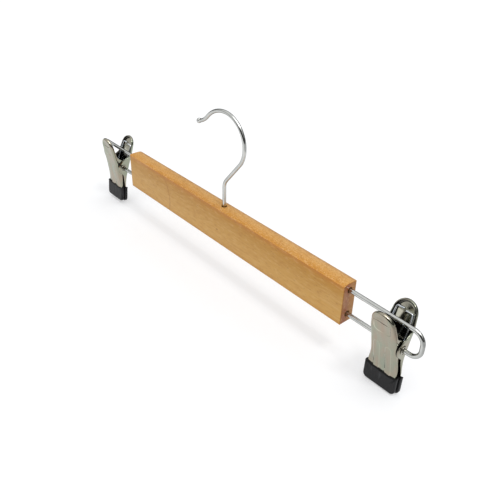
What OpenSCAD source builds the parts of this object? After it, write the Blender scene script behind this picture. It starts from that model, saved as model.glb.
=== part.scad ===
// Skirt hanger: a wooden bar on a wire swivel hook, with a wire rail at each end
// and a sprung clip of two drawn steel plates that slides and swings on each rail.
// The origin is the point of the hook that rests on a rod. +X runs along the bar,
// +Z is up and -Y is the front.

/* [Bar] */
// Length of the wooden bar
bar_length = 252; // [180:5:420]
// Thickness of the bar from front to back
bar_thickness = 12; // [10:0.5:20]
// Height of the bar's flat front face
bar_height = 30; // [27:1:45]
// Rise of the crowned top above the flat faces
bar_crown = 1; // [0.6:0.1:2]
// Radius of the softened edges
bar_edge_r = 0.9; // [0.4:0.1:1.6]

/* [Hook] */
// Diameter of the hook's wire
hook_wire_d = 2.8; // [2.6:0.1:3.8]
// Inner diameter of the hook's round part
hook_inner_d = 38.6; // [32:0.2:48]
// Height of the seat above the top of the bar
hook_seat_h = 72; // [68:0.1:110]
// Sideways offset of the round part from the neck
hook_offset = 1.3; // [0:0.1:3]
// Angle of the slanted part of the neck, from level
hook_slant_angle = 49.3; // [44:0.1:56]
// Bend radius where the neck leaves the upright
hook_neck_r = 10; // [6:0.5:14]
// Bend radius of the lip that runs out from the top
hook_lip_r = 28; // [22:0.5:40]
// Angle that the lip turns through
hook_lip_angle = 47; // [35:1:55]
// Bend radius of the turned-out tip
hook_tip_r = 22; // [12:0.5:26]
// Angle that the tip turns back
hook_tip_angle = 32; // [15:1:40]
// Diameter of the ball at the tip
hook_ball_d = 3.9; // [3.8:0.1:6]
// Length of the hook's shank inside the bar
hook_depth = 24; // [15:1:26]
// Diameter of the worn mouth of the hook's hole
hook_mouth_d = 4.4; // [4.1:0.1:5.5]
// Depth of that mouth
hook_mouth_depth = 4; // [2:0.5:8]

/* [Rails] */
// Diameter of the rails' wire
rail_wire_d = 3; // [2.6:0.1:3.4]
// Height of the upper run above the lower one
rail_gap = 18.6; // [18:0.1:19.4]
// Height of the lower run above the bottom of the bar
rail_low_h = 6.8; // [5:0.1:9]
// Distance that a rail stands out from the end of the bar
rail_reach = 57.8; // [54:0.2:90]
// Bend radius of the two outer corners, on the wire's centre line
rail_corner_r = 7.4; // [5:0.1:8.5]
// Length of each run inside the bar
rail_depth = 20; // [12:1:30]
// Diameter of the hole's mouth in the end grain
rail_mouth_d = 4.4; // [4.1:0.1:5.5]
// Depth of that mouth
rail_mouth_depth = 4; // [2:0.5:8]

/* [Clip plates] */
// Distance from the left end of the bar to the middle of the left clip
left_clip_station = 34.4; // [25:0.1:38.5]
// Distance from the right end of the bar to the middle of the right clip
right_clip_station = 34.5; // [25:0.1:38.5]
// Lean of the left clip, with its top to the back
left_clip_lean = 6; // [-6:0.5:6]
// Lean of the right clip, with its top to the back
right_clip_lean = 1.5; // [-6:0.5:6]
// Thickness of the sheet steel
sheet_t = 0.8; // [0.6:0.05:1]
// Radius of the round finger tab
tab_r = 8.5; // [8:0.1:9]
// Height of the tab's centre above the pivot
tab_h = 18.1; // [17.5:0.1:21]
// Slope of the tab from upright
tab_lean = 16.2; // [14:0.1:18]
// Slope of the plate below the pivot
jaw_lean = 12.6; // [11:0.1:13.4]
// Height above the pivot where the two slopes meet
knee_h = 3; // [1:0.5:5]
// Depth of the drawn rim round the tab
rim_depth = 2.8; // [2.2:0.1:3.2]
// Outer radius of the bend between face and rim
rim_r = 1.9; // [1.6:0.1:2.4]
// Half width across the outer ears
ear_half_w = 10.2; // [9.8:0.1:11]
// Radius of an ear's round end
ear_r = 5.6; // [4.6:0.1:6]
// Height above the pivot where an ear leaves the rim
ear_top_h = 11.4; // [9:0.1:12]
// Depth below the pivot where an ear ends
ear_low_h = 8; // [7:0.1:9.5]
// Half width of the blade that the tip covers
blade_half_w = 11.1; // [10.5:0.1:11.4]
// Depth below the pivot where the blade begins
blade_top_h = 19; // [17:0.1:21]
// Depth below the pivot where the blade ends
blade_low_h = 32; // [30:0.1:32.2]
// Radius of the blade's lower corners
blade_corner_r = 2.6; // [1.5:0.1:4]
// Radius of the sunk panel that the finger finds on the tab
pad_r = 6.2; // [5:0.1:6.6]
// Height above the pivot of that panel's lower edge
pad_low_h = 11; // [10:0.1:12.5]
// Distance of each pressed rib from the middle of the plate
rib_x = 4.4; // [3.5:0.1:5]
// Half width of a rib
rib_half_w = 2.2; // [1.5:0.1:2.8]
// Height above the pivot of the ribs' round tops
rib_top_h = 0.9; // [-2:0.1:2]

/* [Clip tips] */
// Depth of the left tips' lower edge below the pivot
left_tip_low_h = 33; // [33:0.1:37]
// Depth of the right tips' lower edge, where more of the dip has run down
right_tip_low_h = 34.8; // [33:0.1:37]
// Height of the left tips' soft coat
left_tip_h = 14.6; // [11:0.1:14.8]
// Height of the right tips' soft coat
right_tip_h = 14.2; // [11:0.1:14.8]
// Thickness of the soft coat on each side of the blade
tip_coat = 1; // [0.8:0.05:1.4]
// Half width of the tip
tip_half_w = 12.4; // [11.9:0.1:13.5]
// Radius of the tip's lower corners
tip_corner_r = 3.2; // [2:0.1:4.5]
// Sag of the tip's upper edge between its corners
tip_sag = 1.5; // [0:0.1:3.2]

/* [Spring] */
// Diameter of the spring's wire
spring_wire_d = 1.3; // [1:0.05:1.4]
// Mean radius of the coil
spring_coil_r = 3.35; // [3.2:0.05:3.5]
// Whole turns of each of the two coils, beside the half turn between their legs
spring_turns = 2; // [1:1:2]
// Clear gap between one turn and the next
spring_turn_gap = 0.45; // [0.42:0.01:0.6]
// Height of the crossbars above the pivot
bail_h = 19.6; // [18:0.1:20.2]
// Half width across the rear crossbars, on the wire's centre line
bail_half_w = 6; // [5:0.1:6.2]
// Half width of the front crossbar
front_bail_half_w = 4.6; // [4:0.1:5.5]
// Gap between the two ends on the rear tab, along the crossbars
bail_end_gap = 1.5; // [1.4:0.1:2.5]
// Height of one end above the other
bail_step = 1.1; // [1.1:0.1:1.3]

/* [Fits] */
// Radial clearance of the tube on the rail
rail_fit = 0.08; // [0.03:0.01:0.1]
// Radial clearance of the ears on the tube
ear_fit = 0.05; // [0.02:0.01:0.1]
// Radial clearance of a wire in the bar
bar_fit = 0.04; // [0.02:0.01:0.1]
// Gap between an inner ear and the outer ear beside it
ear_gap = 0.4; // [0.15:0.05:0.6]
// Gap between the two closed tips
tip_gap = 0.3; // [0.3:0.05:0.6]
// Clearance of the blade inside its tip
blade_fit = 0.02; // [0.01:0.01:0.05]
// Gap between a crossbar and the tab it presses on
bail_gap = 0.3; // [0.25:0.05:0.4]

/* [Hidden] */

round_fn = 64;
wire_fn = 32;
cut = 1;                                   // overrun of every cut
rim_lip = 0.12;                            // least height of the plate's pressed edge
rim_lip_share = 0.33;                      // least straight part of the rim, as a share of the sheet
rim_inner_share = 0.8;                     // largest inner bend, as a share of the rim's inner height
ear_arc_angle = 66;                        // how far an ear's round end turns each way
ear_arc_step = 22;                         // step of its stations
seam_gap = 0.3;                            // gap between the two plates' edges below the pivot
tube_wall = 0.5;                           // wall of the pivot tube
tube_lip = 0.9;                            // reach of the tube's rolled lip past its wall
tube_lip_t = 0.5;                          // thickness of that lip
tube_lip_gap = 0.1;                        // gap between lip and ear
pad_sink = 0.3;                            // depth of the finger panel below the face
pad_corner_r = 3;                          // radius of its lower corners
rib_rise = 0.25;                           // rise of a rib above the face
rib_root = 0.4;                            // how far a rib's block runs into the sheet
bend_r = 1.5;                              // bend between a spring leg and its crossbar
joint_run = 0.3;                           // how far a bend of the hook's wire starts inside the next run
joint_step = 0.02;                         // how much thinner that bend is, so that the two make one wire
tip_edge_r = 0.9;                          // soft edges of the tip
coil_side_gap = 0.3;                       // gap between a coil and the ear beside it

// Heights in the hanger's own frame
bar_top_z = -hook_seat_h;
bar_edge_z = bar_top_z - bar_crown;
bar_low_z = bar_edge_z - bar_height;
rail_low_z = bar_low_z + rail_low_h;
rail_high_z = rail_low_z + rail_gap;

// The crown is the arc through both upper edges and the raised middle
crown_r = (pow(bar_thickness / 2, 2) + pow(bar_crown, 2)) / (2 * bar_crown);

// The hook's centre line: upright, bend, slant, round part, lip and tip
hook_r = (hook_inner_d + hook_wire_d) / 2;
hook_centre_z = -hook_inner_d / 2;
slant_turn = 90 - hook_slant_angle;
slant_end = [hook_offset + hook_r * cos(slant_turn), hook_centre_z - hook_r * sin(slant_turn)];
neck_corner_z = slant_end[1] - slant_end[0] * tan(hook_slant_angle);
neck_tangent = hook_neck_r * tan(slant_turn / 2);
slant_length = slant_end[0] / cos(hook_slant_angle) - neck_tangent;
shank_low_z = bar_top_z - hook_depth;

// Distances of the sheet from the clip's middle plane
blade_in = tip_gap / 2 + tip_coat;
blade_out = blade_in + sheet_t;
tip_out = blade_out + tip_coat;
inner_ear_half_w = ear_half_w - sheet_t - ear_gap;
plate_shift = (ear_half_w - inner_ear_half_w) / 2;
plate_half_w = ear_half_w - plate_shift;
tube_r = rail_wire_d / 2 + rail_fit + tube_wall;
tube_half = ear_half_w + tube_lip_gap + tube_lip_t;

function mix(a, b, s) = a + (b - a) * s;
function smooth(s) = s <= 0 ? 0 : s >= 1 ? 1 : s * s * (3 - 2 * s);

// Outer face of a plate, measured from the middle plane, at a height above the pivot
function face_out(h) = blade_out + max(0, h + blade_top_h) * tan(jaw_lean)
    + max(0, h - knee_h) * (tan(tab_lean) - tan(jaw_lean));

// Half width of a plate at a height. The straight side meets the tab's circle along a tangent.
side_angle = atan2(ear_top_h - tab_h, plate_half_w) + acos(tab_r / norm([plate_half_w, ear_top_h - tab_h]));
side_top_h = tab_h + tab_r * sin(side_angle);
function side_w(h) =
    h >= ear_top_h ? mix(plate_half_w, tab_r * cos(side_angle), (h - ear_top_h) / (side_top_h - ear_top_h))
    : h >= -ear_low_h ? plate_half_w
    : h >= blade_corner_r - blade_low_h
        ? mix(plate_half_w, blade_half_w, smooth((-h - ear_low_h) / (blade_top_h - ear_low_h)))
    : blade_half_w - blade_corner_r
        + sqrt(max(0, pow(blade_corner_r, 2) - pow(blade_corner_r - (h + blade_low_h), 2)));

// The two plates are alike and each sits to the side of its outer ear, so that its other ear passes inside.
// An inner ear's end clears the bend of the plate that it reaches into.
bend_in_r = rim_r - sheet_t;
inner_ear_reach = face_out(0) - rim_r + sqrt(max(0, pow(bend_in_r, 2) - pow(bend_in_r - ear_gap, 2)));
inner_ear_r = min(ear_r, inner_ear_reach * cos(jaw_lean) - ear_gap);
function ear_end_r(outer) = outer ? ear_r : inner_ear_r;

// Free edge of the rim, measured from the middle plane; an ear reaches past it
ear_arc = [for (a = [ear_arc_angle:-ear_arc_step:-ear_arc_angle]) a];
function rim_edge(h, outer) = let (
        r = ear_end_r(outer),
        arc_h = r * sin(ear_arc_angle),
        arc_edge = -r * cos(ear_arc_angle),
        lip = face_out(h) - sheet_t - rim_lip)
    h >= ear_top_h ? face_out(h) - rim_depth
    : h >= arc_h ? mix(arc_edge, face_out(ear_top_h) - rim_depth, (h - arc_h) / (ear_top_h - arc_h))
    : h > -arc_h ? -sqrt(pow(r, 2) - pow(h, 2))
    : h >= -ear_low_h ? mix(seam_gap / 2, arc_edge, (h + ear_low_h) / (ear_low_h - arc_h))
    : min(lip, mix(seam_gap / 2, blade_in - rim_lip, (-h - ear_low_h) / (blade_top_h - ear_low_h)));

// Stations along one side of a plate, each [x, h, inward x, inward h, reach, outer], from low to high
low_shares = [0.03, 0.35, 1];
waist_shares = [0, 0.3, 0.6, 0.85];
side_shares = [0, 0.34, 0.67];
ear_mid_share = 0.5;
function side_heights(outer) = concat(
    [for (s = low_shares) s * blade_corner_r - blade_low_h],
    [for (s = waist_shares) mix(-blade_top_h, -ear_low_h, s)],
    [-ear_low_h],
    [for (i = [len(ear_arc) - 1:-1:0]) ear_end_r(outer) * sin(ear_arc[i])],
    [mix(ear_end_r(outer) * sin(ear_arc_angle), ear_top_h, ear_mid_share)]);
function side_stations(outer) = let (
        heights = concat(side_heights(outer), [for (s = side_shares) mix(ear_top_h, side_top_h, s)]))
    [for (h = heights) let (w = side_w(h)) [w, h, -1, 0, w, outer]];
tab_steps = 9;
function tab_stations(outer) = [for (i = [0:tab_steps - 1]) let (a = mix(side_angle, 90, i / tab_steps))
    [tab_r * cos(a), tab_h + tab_r * sin(a), -cos(a), -sin(a), tab_r, outer]];

// One closed section through the sheet at a station: out along the face, round the rim and back
bend_angles = [0, 30, 60, 90];
function section(st) = let (
        x = st[0], h = st[1], ix = st[2], ih = st[3], reach = st[4],
        edge = rim_edge(h, st[5]), depth = face_out(h) - edge,
        r = min(rim_r, depth - rim_lip_share * sheet_t),
        ri = min(max(r - sheet_t, rim_lip), rim_inner_share * (depth - sheet_t)),
        at = function (u, d) [x + ix * u, -(face_out(h + ih * u) - d), h + ih * u])
    concat(
        [at(reach, 0)],
        [for (a = bend_angles) at(r - r * sin(a), r - r * cos(a))],
        [[x, -edge, h], [x + ix * sheet_t, -edge, h + ih * sheet_t]],
        [for (i = [len(bend_angles) - 1:-1:0]) let (a = bend_angles[i])
            at(sheet_t + ri - ri * sin(a), sheet_t + ri - ri * cos(a))],
        [at(reach, sheet_t)]);

// A plate: stations up one side, over the tab and down the other, with the spine shared
side_count = len(side_stations(true));
function mirror_x(pts) = [for (p = pts) [-p[0], p[1], p[2]]];
function plate_sections() = let (
        right = concat(side_stations(false), tab_stations(false)),
        left = concat(side_stations(true), tab_stations(true)),
        apex = [0, tab_h + tab_r, 0, -1, tab_r, true])
    concat(
        [for (st = right) section(st)],
        [section(apex)],
        [for (i = [len(left) - 1:-1:0]) mirror_x(section(left[i]))]);

module plate_shell() {
    sections = plate_sections();
    count = len(sections);
    size = len(sections[0]);
    spine = function (i) min(i, count - 1 - i, side_count);
    // The spine's outer and inner points come first, then each section's other points
    spine_points = [for (i = [0:side_count]) each [sections[i][0], sections[i][size - 1]]];
    index = function (i, k) k == 0 ? 2 * spine(i) : k == size - 1 ? 2 * spine(i) + 1
        : 2 * (side_count + 1) + i * (size - 2) + k - 1;
    points = concat(spine_points, [for (s = sections) for (k = [1:size - 2]) s[k]]);
    quads = [for (i = [0:count - 2]) for (k = [0:size - 2])
        [index(i, k), index(i, k + 1), index(i + 1, k + 1), index(i + 1, k)]];
    foot = [for (i = [0, count - 1]) for (k = [0:size / 2 - 2])
        let (q = [index(i, k), index(i, size - 1 - k), index(i, size - 2 - k), index(i, k + 1)])
            i == 0 ? q : [q[3], q[2], q[1], q[0]]];
    faces = [for (q = concat(quads, foot)) for (t = [[q[0], q[2], q[1]], [q[0], q[3], q[2]]])
        if (t[0] != t[1] && t[1] != t[2] && t[0] != t[2]) t];
    polyhedron(points, faces);
}

// A point on the outer face of a plate, as a place to work from
module on_face(x, h, lean, sink = 0) {
    translate([x, -face_out(h), h]) rotate([lean, 0, 0]) translate([0, sink, 0]) children();
}

// Depth below the pivot of a tip's lower and upper edge, with side 1 to the right and -1 to the left
function tip_low_h(side) = side > 0 ? right_tip_low_h : left_tip_low_h;
function tip_top_h(side) = tip_low_h(side) - (side > 0 ? right_tip_h : left_tip_h);
rib_low_h = min(tip_top_h(-1), tip_top_h(1)) - tip_edge_r;

// Outlines drawn on the face: the finger panel about the tab's centre and a rib below its round top
module pad_outline() {
    low = (pad_low_h - tab_h) / cos(tab_lean) + pad_corner_r;
    hull() {
        circle(r = pad_r, $fn = round_fn);
        for (x = [-1, 1])
            translate([x * (pad_r - pad_corner_r), low]) circle(r = pad_corner_r, $fn = wire_fn);
    }
}
module rib_outline() {
    length = (rib_low_h + rib_top_h - rib_half_w) / cos(jaw_lean);
    circle(r = rib_half_w, $fn = wire_fn);
    translate([-rib_half_w, -length]) square([2 * rib_half_w, length]);
}

// The drawn plate in front of the pivot, its inner ear to the right
module plate() {
    translate([-plate_shift, 0, 0]) difference() {
        union() {
            plate_shell();
            for (x = [-rib_x, rib_x])
                on_face(x, rib_top_h - rib_half_w, jaw_lean, rib_root) rotate([90, 0, 0])
                    linear_extrude(rib_root + rib_rise) rib_outline();
        }
        on_face(0, tab_h, tab_lean, pad_sink) rotate([90, 0, 0])
            linear_extrude(pad_sink + cut) pad_outline();
        rotate([0, 90, 0])
            cylinder(r = tube_r + ear_fit, h = 2 * (ear_half_w + cut), center = true, $fn = round_fn);
    }
}

// Corner points of a rectangle with rounded corners, radii given per corner from the lower left round
corner_steps = 6;
function corner(cx, cy, r, a0) = [for (i = [0:corner_steps]) let (a = a0 + 90 * i / corner_steps)
    [cx + r * cos(a), cy + r * sin(a)]];
function soft_rect(low, high, r_low, r_high) = concat(
    corner(low[0] + r_low, low[1] + r_low, r_low, 180),
    corner(high[0] - r_low, low[1] + r_low, r_low, 270),
    corner(high[0] - r_high, high[1] - r_high, r_high, 0),
    corner(low[0] + r_high, high[1] - r_high, r_high, 90));

// The soft tip, front half of a pair, dipped over the blade
wave_steps = 24;
sag_power = 6;                             // how late the edge rises to its corners
sag_tilt_share = 0.3;                      // how much deeper it sags to the right than to the left
ripple_share = 0.08;                       // ripple of that edge, as a share of its sag
ripple_turn = 720;                         // phase of the ripple from the middle to a corner
function tip_dip(s) = tip_sag * (1 - pow(abs(s), sag_power))
    * (1 + sag_tilt_share * s + ripple_share * cos(ripple_turn * s));
module tip_outline(low_h, top_h) {
    polygon(concat(
        corner(-tip_half_w + tip_corner_r, -low_h + tip_corner_r, tip_corner_r, 180),
        corner(tip_half_w - tip_corner_r, -low_h + tip_corner_r, tip_corner_r, 270),
        [for (i = [0:wave_steps]) let (s = 1 - 2 * i / wave_steps)
            [tip_half_w * s, -top_h - tip_dip(s)]]));
}
module tip(side) {
    low_h = tip_low_h(side);
    top_h = tip_top_h(side);
    length = 2 * (tip_half_w + cut);
    half_low = [-tip_half_w, -tip_out];
    half_high = [tip_half_w, -tip_gap / 2];
    translate([-plate_shift, 0, 0]) difference() {
        intersection() {
            translate([0, cut - tip_gap / 2, 0]) rotate([90, 0, 0])
                linear_extrude(tip_out + cut) tip_outline(low_h, top_h);
            rotate([90, 0, 90]) linear_extrude(length, center = true)
                polygon(soft_rect([-tip_out, -low_h], [-tip_gap / 2, 0], tip_edge_r, tip_edge_r));
            translate([0, 0, -low_h - cut]) linear_extrude(low_h - top_h + 2 * cut)
                polygon(soft_rect(half_low, half_high, tip_edge_r, tip_edge_r));
        }
        blade_pocket();
    }
}
// The room that the blade takes in a tip, which widens with the plate above the blade
module blade_pocket() {
    half_w = blade_half_w + blade_fit;
    low = -blade_low_h - blade_fit;
    inner = blade_in - rim_lip - blade_fit;
    intersection() {
        rotate([90, 0, 0]) linear_extrude(face_out(0)) polygon(concat(
            corner(-half_w + blade_corner_r, low + blade_corner_r, blade_corner_r, 180),
            corner(half_w - blade_corner_r, low + blade_corner_r, blade_corner_r, 270),
            [[half_w, 0], [-half_w, 0]]));
        rotate([90, 0, 90]) linear_extrude(2 * (half_w + cut), center = true) polygon([
            [-inner, low], [-inner, -blade_top_h],
            [blade_fit - seam_gap / 2, -ear_low_h], [-face_out(-ear_low_h) - blade_fit, -ear_low_h],
            [-blade_out - blade_fit, -blade_top_h], [-blade_out - blade_fit, low]]);
    }
}

// The pivot tube that slides on the rail, with both ends rolled over the outer ears
module pivot_tube() {
    inner_r = rail_wire_d / 2 + rail_fit;
    lip_r = tube_r + tube_lip;
    soft = tube_lip_t / 2;
    ear_face = tube_half - tube_lip_t;
    rotate([0, 90, 0]) rotate_extrude($fn = round_fn) polygon(concat(
        [[inner_r, -tube_half + soft], [inner_r + soft, -tube_half], [lip_r - soft, -tube_half],
            [lip_r, -ear_face - soft], [lip_r, -ear_face], [tube_r, -ear_face]],
        [[tube_r, ear_face], [lip_r, ear_face], [lip_r, ear_face + soft], [lip_r - soft, tube_half],
            [inner_r + soft, tube_half], [inner_r, tube_half - soft]]));
}

// The double torsion spring: two ends on the rear tab, a coil on each side of the middle and
// a bail across the front tab. Each leg leaves its coil along a tangent.
bail_y = face_out(bail_h) - sheet_t - (bail_gap + spring_wire_d / 2) / cos(tab_lean);
leg_angle = atan2(bail_h, bail_y) - acos(spring_coil_r / norm([bail_y, bail_h]));
coil_angle = 180 + 2 * leg_angle + 360 * spring_turns;
coil_pitch = spring_wire_d + spring_turn_gap;
coil_out = inner_ear_half_w - sheet_t - coil_side_gap - spring_wire_d / 2;
coil_in = coil_out - coil_pitch * coil_angle / 360;
rings_per_turn = 8;
coil_steps = ceil(coil_angle / 360 * rings_per_turn);
bend_steps = 4;
leg_shares = [0.35, 0.7];
function unit(v) = v / norm(v);

// Points of the left coil from its outer end, seen from the rear, to its inner end in front
function coil_point(s) = let (a = leg_angle - coil_angle * s)
    [-mix(coil_out, coil_in, s), spring_coil_r * cos(a), spring_coil_r * sin(a)];

// A crossbar that starts at a point, turns at a corner and comes down a leg to its foot
function leg_points(start, corner_at, foot) = let (
        along = unit(start - corner_at),
        down = unit(foot - corner_at),
        turn = acos(along * down),
        reach = bend_r * tan((180 - turn) / 2),
        middle = corner_at + unit(along + down) * bend_r / sin(turn / 2),
        from_bar = corner_at + along * reach - middle,
        from_leg = corner_at + down * reach - middle)
    concat(
        [start, mix(start, corner_at, (norm(start - corner_at) - reach) / norm(start - corner_at) / 2)],
        [for (i = [0:bend_steps]) middle + bend_r * unit(mix(from_bar, from_leg, i / bend_steps))],
        [for (s = leg_shares) mix(corner_at, foot, s)]);
function backwards(pts) = [for (i = [len(pts) - 1:-1:0]) pts[i]];

// The left half, from its end on the rear tab to the middle of the bail; up is its end's offset
function spring_half(up) = concat(
    leg_points([-bail_end_gap / 2, bail_y, bail_h + up], [-bail_half_w, bail_y, bail_h + up], coil_point(0)),
    [for (i = [0:coil_steps]) coil_point(i / coil_steps)],
    backwards(leg_points([0, -bail_y, bail_h], [-front_bail_half_w, -bail_y, bail_h], coil_point(1))));
function without_last(pts) = [for (i = [0:len(pts) - 2]) pts[i]];
spring_path = concat(
    without_last(spring_half(bail_step / 2)),
    backwards(mirror_x(spring_half(-bail_step / 2))));

// Clear distance between turns and ends, from the points of the centre line
spring_least_gap = min([for (i = [0:len(spring_path) - rings_per_turn + 1])
    for (j = [i + rings_per_turn - 2:len(spring_path) - 1]) norm(spring_path[i] - spring_path[j])])
    - spring_wire_d;
echo(spring_least_gap = spring_least_gap);

wire_sides = 6;
module swept_wire(path, d) {
    count = len(path);
    tangents = [for (i = [0:count - 1])
        unit(unit(path[min(i + 1, count - 1)] - path[min(i, count - 2)])
            + unit(path[max(i, 1)] - path[max(i - 1, 0)]))];
    normals = [for (i = 0, n = unit(cross(tangents[0], [0, 1, 0])); i < count;
        i = i + 1, n = i < count ? unit(n - tangents[i] * (n * tangents[i])) : n) n];
    points = [for (i = [0:count - 1]) for (k = [0:wire_sides - 1])
        let (a = 360 * k / wire_sides, side = cross(tangents[i], normals[i]))
            path[i] + d / 2 * (normals[i] * cos(a) + side * sin(a))];
    walls = [for (i = [0:count - 2]) for (k = [0:wire_sides - 1])
        let (p = i * wire_sides + k, q = i * wire_sides + (k + 1) % wire_sides)
            each [[p, q + wire_sides, q], [p, p + wire_sides, q + wire_sides]]];
    ends = [for (k = [1:wire_sides - 2]) each [[0, k, k + 1],
        [(count - 1) * wire_sides, (count - 1) * wire_sides + k + 1, (count - 1) * wire_sides + k]]];
    polyhedron(points, concat(walls, ends));
}
module spring() {
    swept_wire(spring_path, spring_wire_d);
}

// Places a clip's piece on a rail: side is 1 to the right and -1 to the left
module on_rail(side) {
    lean = side > 0 ? right_clip_lean : left_clip_lean;
    station = side > 0 ? right_clip_station : left_clip_station;
    translate([side * (bar_length / 2 + station), 0, rail_low_z]) rotate([-lean, 0, 0]) children();
}
module rear() {
    rotate([0, 0, 180]) children();
}

// A stretch of wire bent round a centre in the upright plane
module wire_bend(centre, r, from, to, d) {
    translate([centre[0], 0, centre[1]]) rotate([90, 0, 0]) rotate([0, 0, from])
        rotate_extrude(angle = to - from, $fn = round_fn) translate([r, 0]) circle(d = d, $fn = wire_fn);
}

module rail() {
    outer_x = bar_length / 2 + rail_reach - rail_wire_d / 2;
    bend_x = outer_x - rail_corner_r;
    inner_x = bar_length / 2 - rail_depth;
    for (z = [rail_low_z, rail_high_z])
        translate([inner_x, 0, z]) rotate([0, 90, 0])
            cylinder(d = rail_wire_d, h = bend_x - inner_x, $fn = wire_fn);
    wire_bend([bend_x, rail_high_z - rail_corner_r], rail_corner_r, 0, 90, rail_wire_d);
    wire_bend([bend_x, rail_low_z + rail_corner_r], rail_corner_r, -90, 0, rail_wire_d);
    translate([outer_x, 0, rail_low_z + rail_corner_r])
        cylinder(d = rail_wire_d, h = rail_gap - 2 * rail_corner_r, $fn = wire_fn);
}

module hook() {
    lip_centre = [hook_offset, hook_centre_z + hook_r - hook_lip_r];
    lip_end = 90 + hook_lip_angle;
    tip_centre = lip_centre + (hook_lip_r + hook_tip_r) * [cos(lip_end), sin(lip_end)];
    tip_start = lip_end - 180;
    tip_end = tip_start - hook_tip_angle;
    ball_at = tip_centre + hook_tip_r * [cos(tip_end), sin(tip_end)];
    neck_z = neck_corner_z - neck_tangent;
    thin_d = hook_wire_d - joint_step;
    over = function (r) joint_run / r * 180 / PI;
    color("silver") {
        translate([0, 0, shank_low_z]) cylinder(d = hook_wire_d, h = neck_z - shank_low_z, $fn = wire_fn);
        wire_bend([hook_neck_r, neck_z], hook_neck_r,
            180 - slant_turn - over(hook_neck_r), 180 + over(hook_neck_r), thin_d);
        translate([slant_end[0], 0, slant_end[1]]) rotate([0, slant_turn - 180, 0])
            cylinder(d = hook_wire_d, h = slant_length, $fn = wire_fn);
        wire_bend([hook_offset, hook_centre_z], hook_r,
            -slant_turn - over(hook_r), 90 + over(hook_r), thin_d);
        wire_bend(lip_centre, hook_lip_r, 90, lip_end, hook_wire_d);
        wire_bend(tip_centre, hook_tip_r, tip_end, tip_start + over(hook_tip_r), thin_d);
        translate([ball_at[0], 0, ball_at[1]]) sphere(d = hook_ball_d, $fn = wire_fn);
    }
}

// A blind hole for a wire, mouth at the origin and running down -Z
module wire_hole(wire_d, depth, mouth_d, mouth_depth) {
    translate([0, 0, -depth]) cylinder(d = wire_d + 2 * bar_fit, h = depth + cut, $fn = wire_fn);
    translate([0, 0, -mouth_depth]) cylinder(d = mouth_d, h = mouth_depth + cut, $fn = wire_fn);
}
module bar() {
    half = [bar_length / 2, bar_thickness / 2];
    color("burlywood") difference() {
        intersection() {
            rotate([90, 0, 90]) linear_extrude(bar_length, center = true) intersection() {
                polygon(soft_rect([-half[1], bar_low_z], [half[1], bar_top_z + cut], bar_edge_r, bar_edge_r));
                translate([0, bar_top_z - crown_r]) circle(r = crown_r, $fn = 4 * round_fn);
            }
            rotate([90, 0, 0]) linear_extrude(2 * bar_thickness, center = true)
                polygon(soft_rect([-half[0], bar_low_z], [half[0], bar_top_z], bar_edge_r, bar_edge_r));
            translate([0, 0, bar_low_z - cut]) linear_extrude(bar_height + bar_crown + 2 * cut)
                polygon(soft_rect(-half, half, bar_edge_r, bar_edge_r));
        }
        translate([0, 0, bar_top_z]) wire_hole(hook_wire_d, hook_depth, hook_mouth_d, hook_mouth_depth);
        for (side = [-1, 1]) for (z = [rail_low_z, rail_high_z])
            translate([side * bar_length / 2, 0, z]) rotate([0, side * 90, 0])
                wire_hole(rail_wire_d, rail_depth, rail_mouth_d, rail_mouth_depth);
    }
}

module rail_left() { color("silver") mirror([1, 0, 0]) rail(); }
module rail_right() { color("silver") rail(); }
module front_plate(side) { color("gainsboro") on_rail(side) plate(); }
module rear_plate(side) { color("gainsboro") on_rail(side) rear() plate(); }
module front_tip(side) { color("dimgray") on_rail(side) tip(side); }
module rear_tip(side) { color("dimgray") on_rail(side) rear() tip(side); }
module clip_spring(side) { color("lightsteelblue") on_rail(side) spring(); }
module clip_tube(side) { color("silver") on_rail(side) pivot_tube(); }

bar();
hook();
rail_left();
rail_right();
front_plate(-1);  // clip_left_front_plate
rear_plate(-1);  // clip_left_rear_plate
front_tip(-1);  // clip_left_front_tip
rear_tip(-1);  // clip_left_rear_tip
clip_spring(-1);  // clip_left_spring
clip_tube(-1);  // clip_left_pivot_tube
front_plate(1);  // clip_right_front_plate
rear_plate(1);  // clip_right_rear_plate
front_tip(1);  // clip_right_front_tip
rear_tip(1);  // clip_right_rear_tip
clip_spring(1);  // clip_right_spring
clip_tube(1);  // clip_right_pivot_tube
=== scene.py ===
"""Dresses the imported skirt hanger: a beech bar on a chrome swivel hook, with a sprung clip on each wire rail.

Lengths in the classes are millimetres in the hanger's own frame, where the origin is the point of the
hook that rests on a rod, +X runs along the bar, +Z is up and -Y is the front. They are turned to metres
once, when a mesh is made. A clip is drawn about its pivot: x along the rail, y to the back, h upwards.
"""

import logging
import math
from dataclasses import dataclass, field
from enum import Enum

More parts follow.
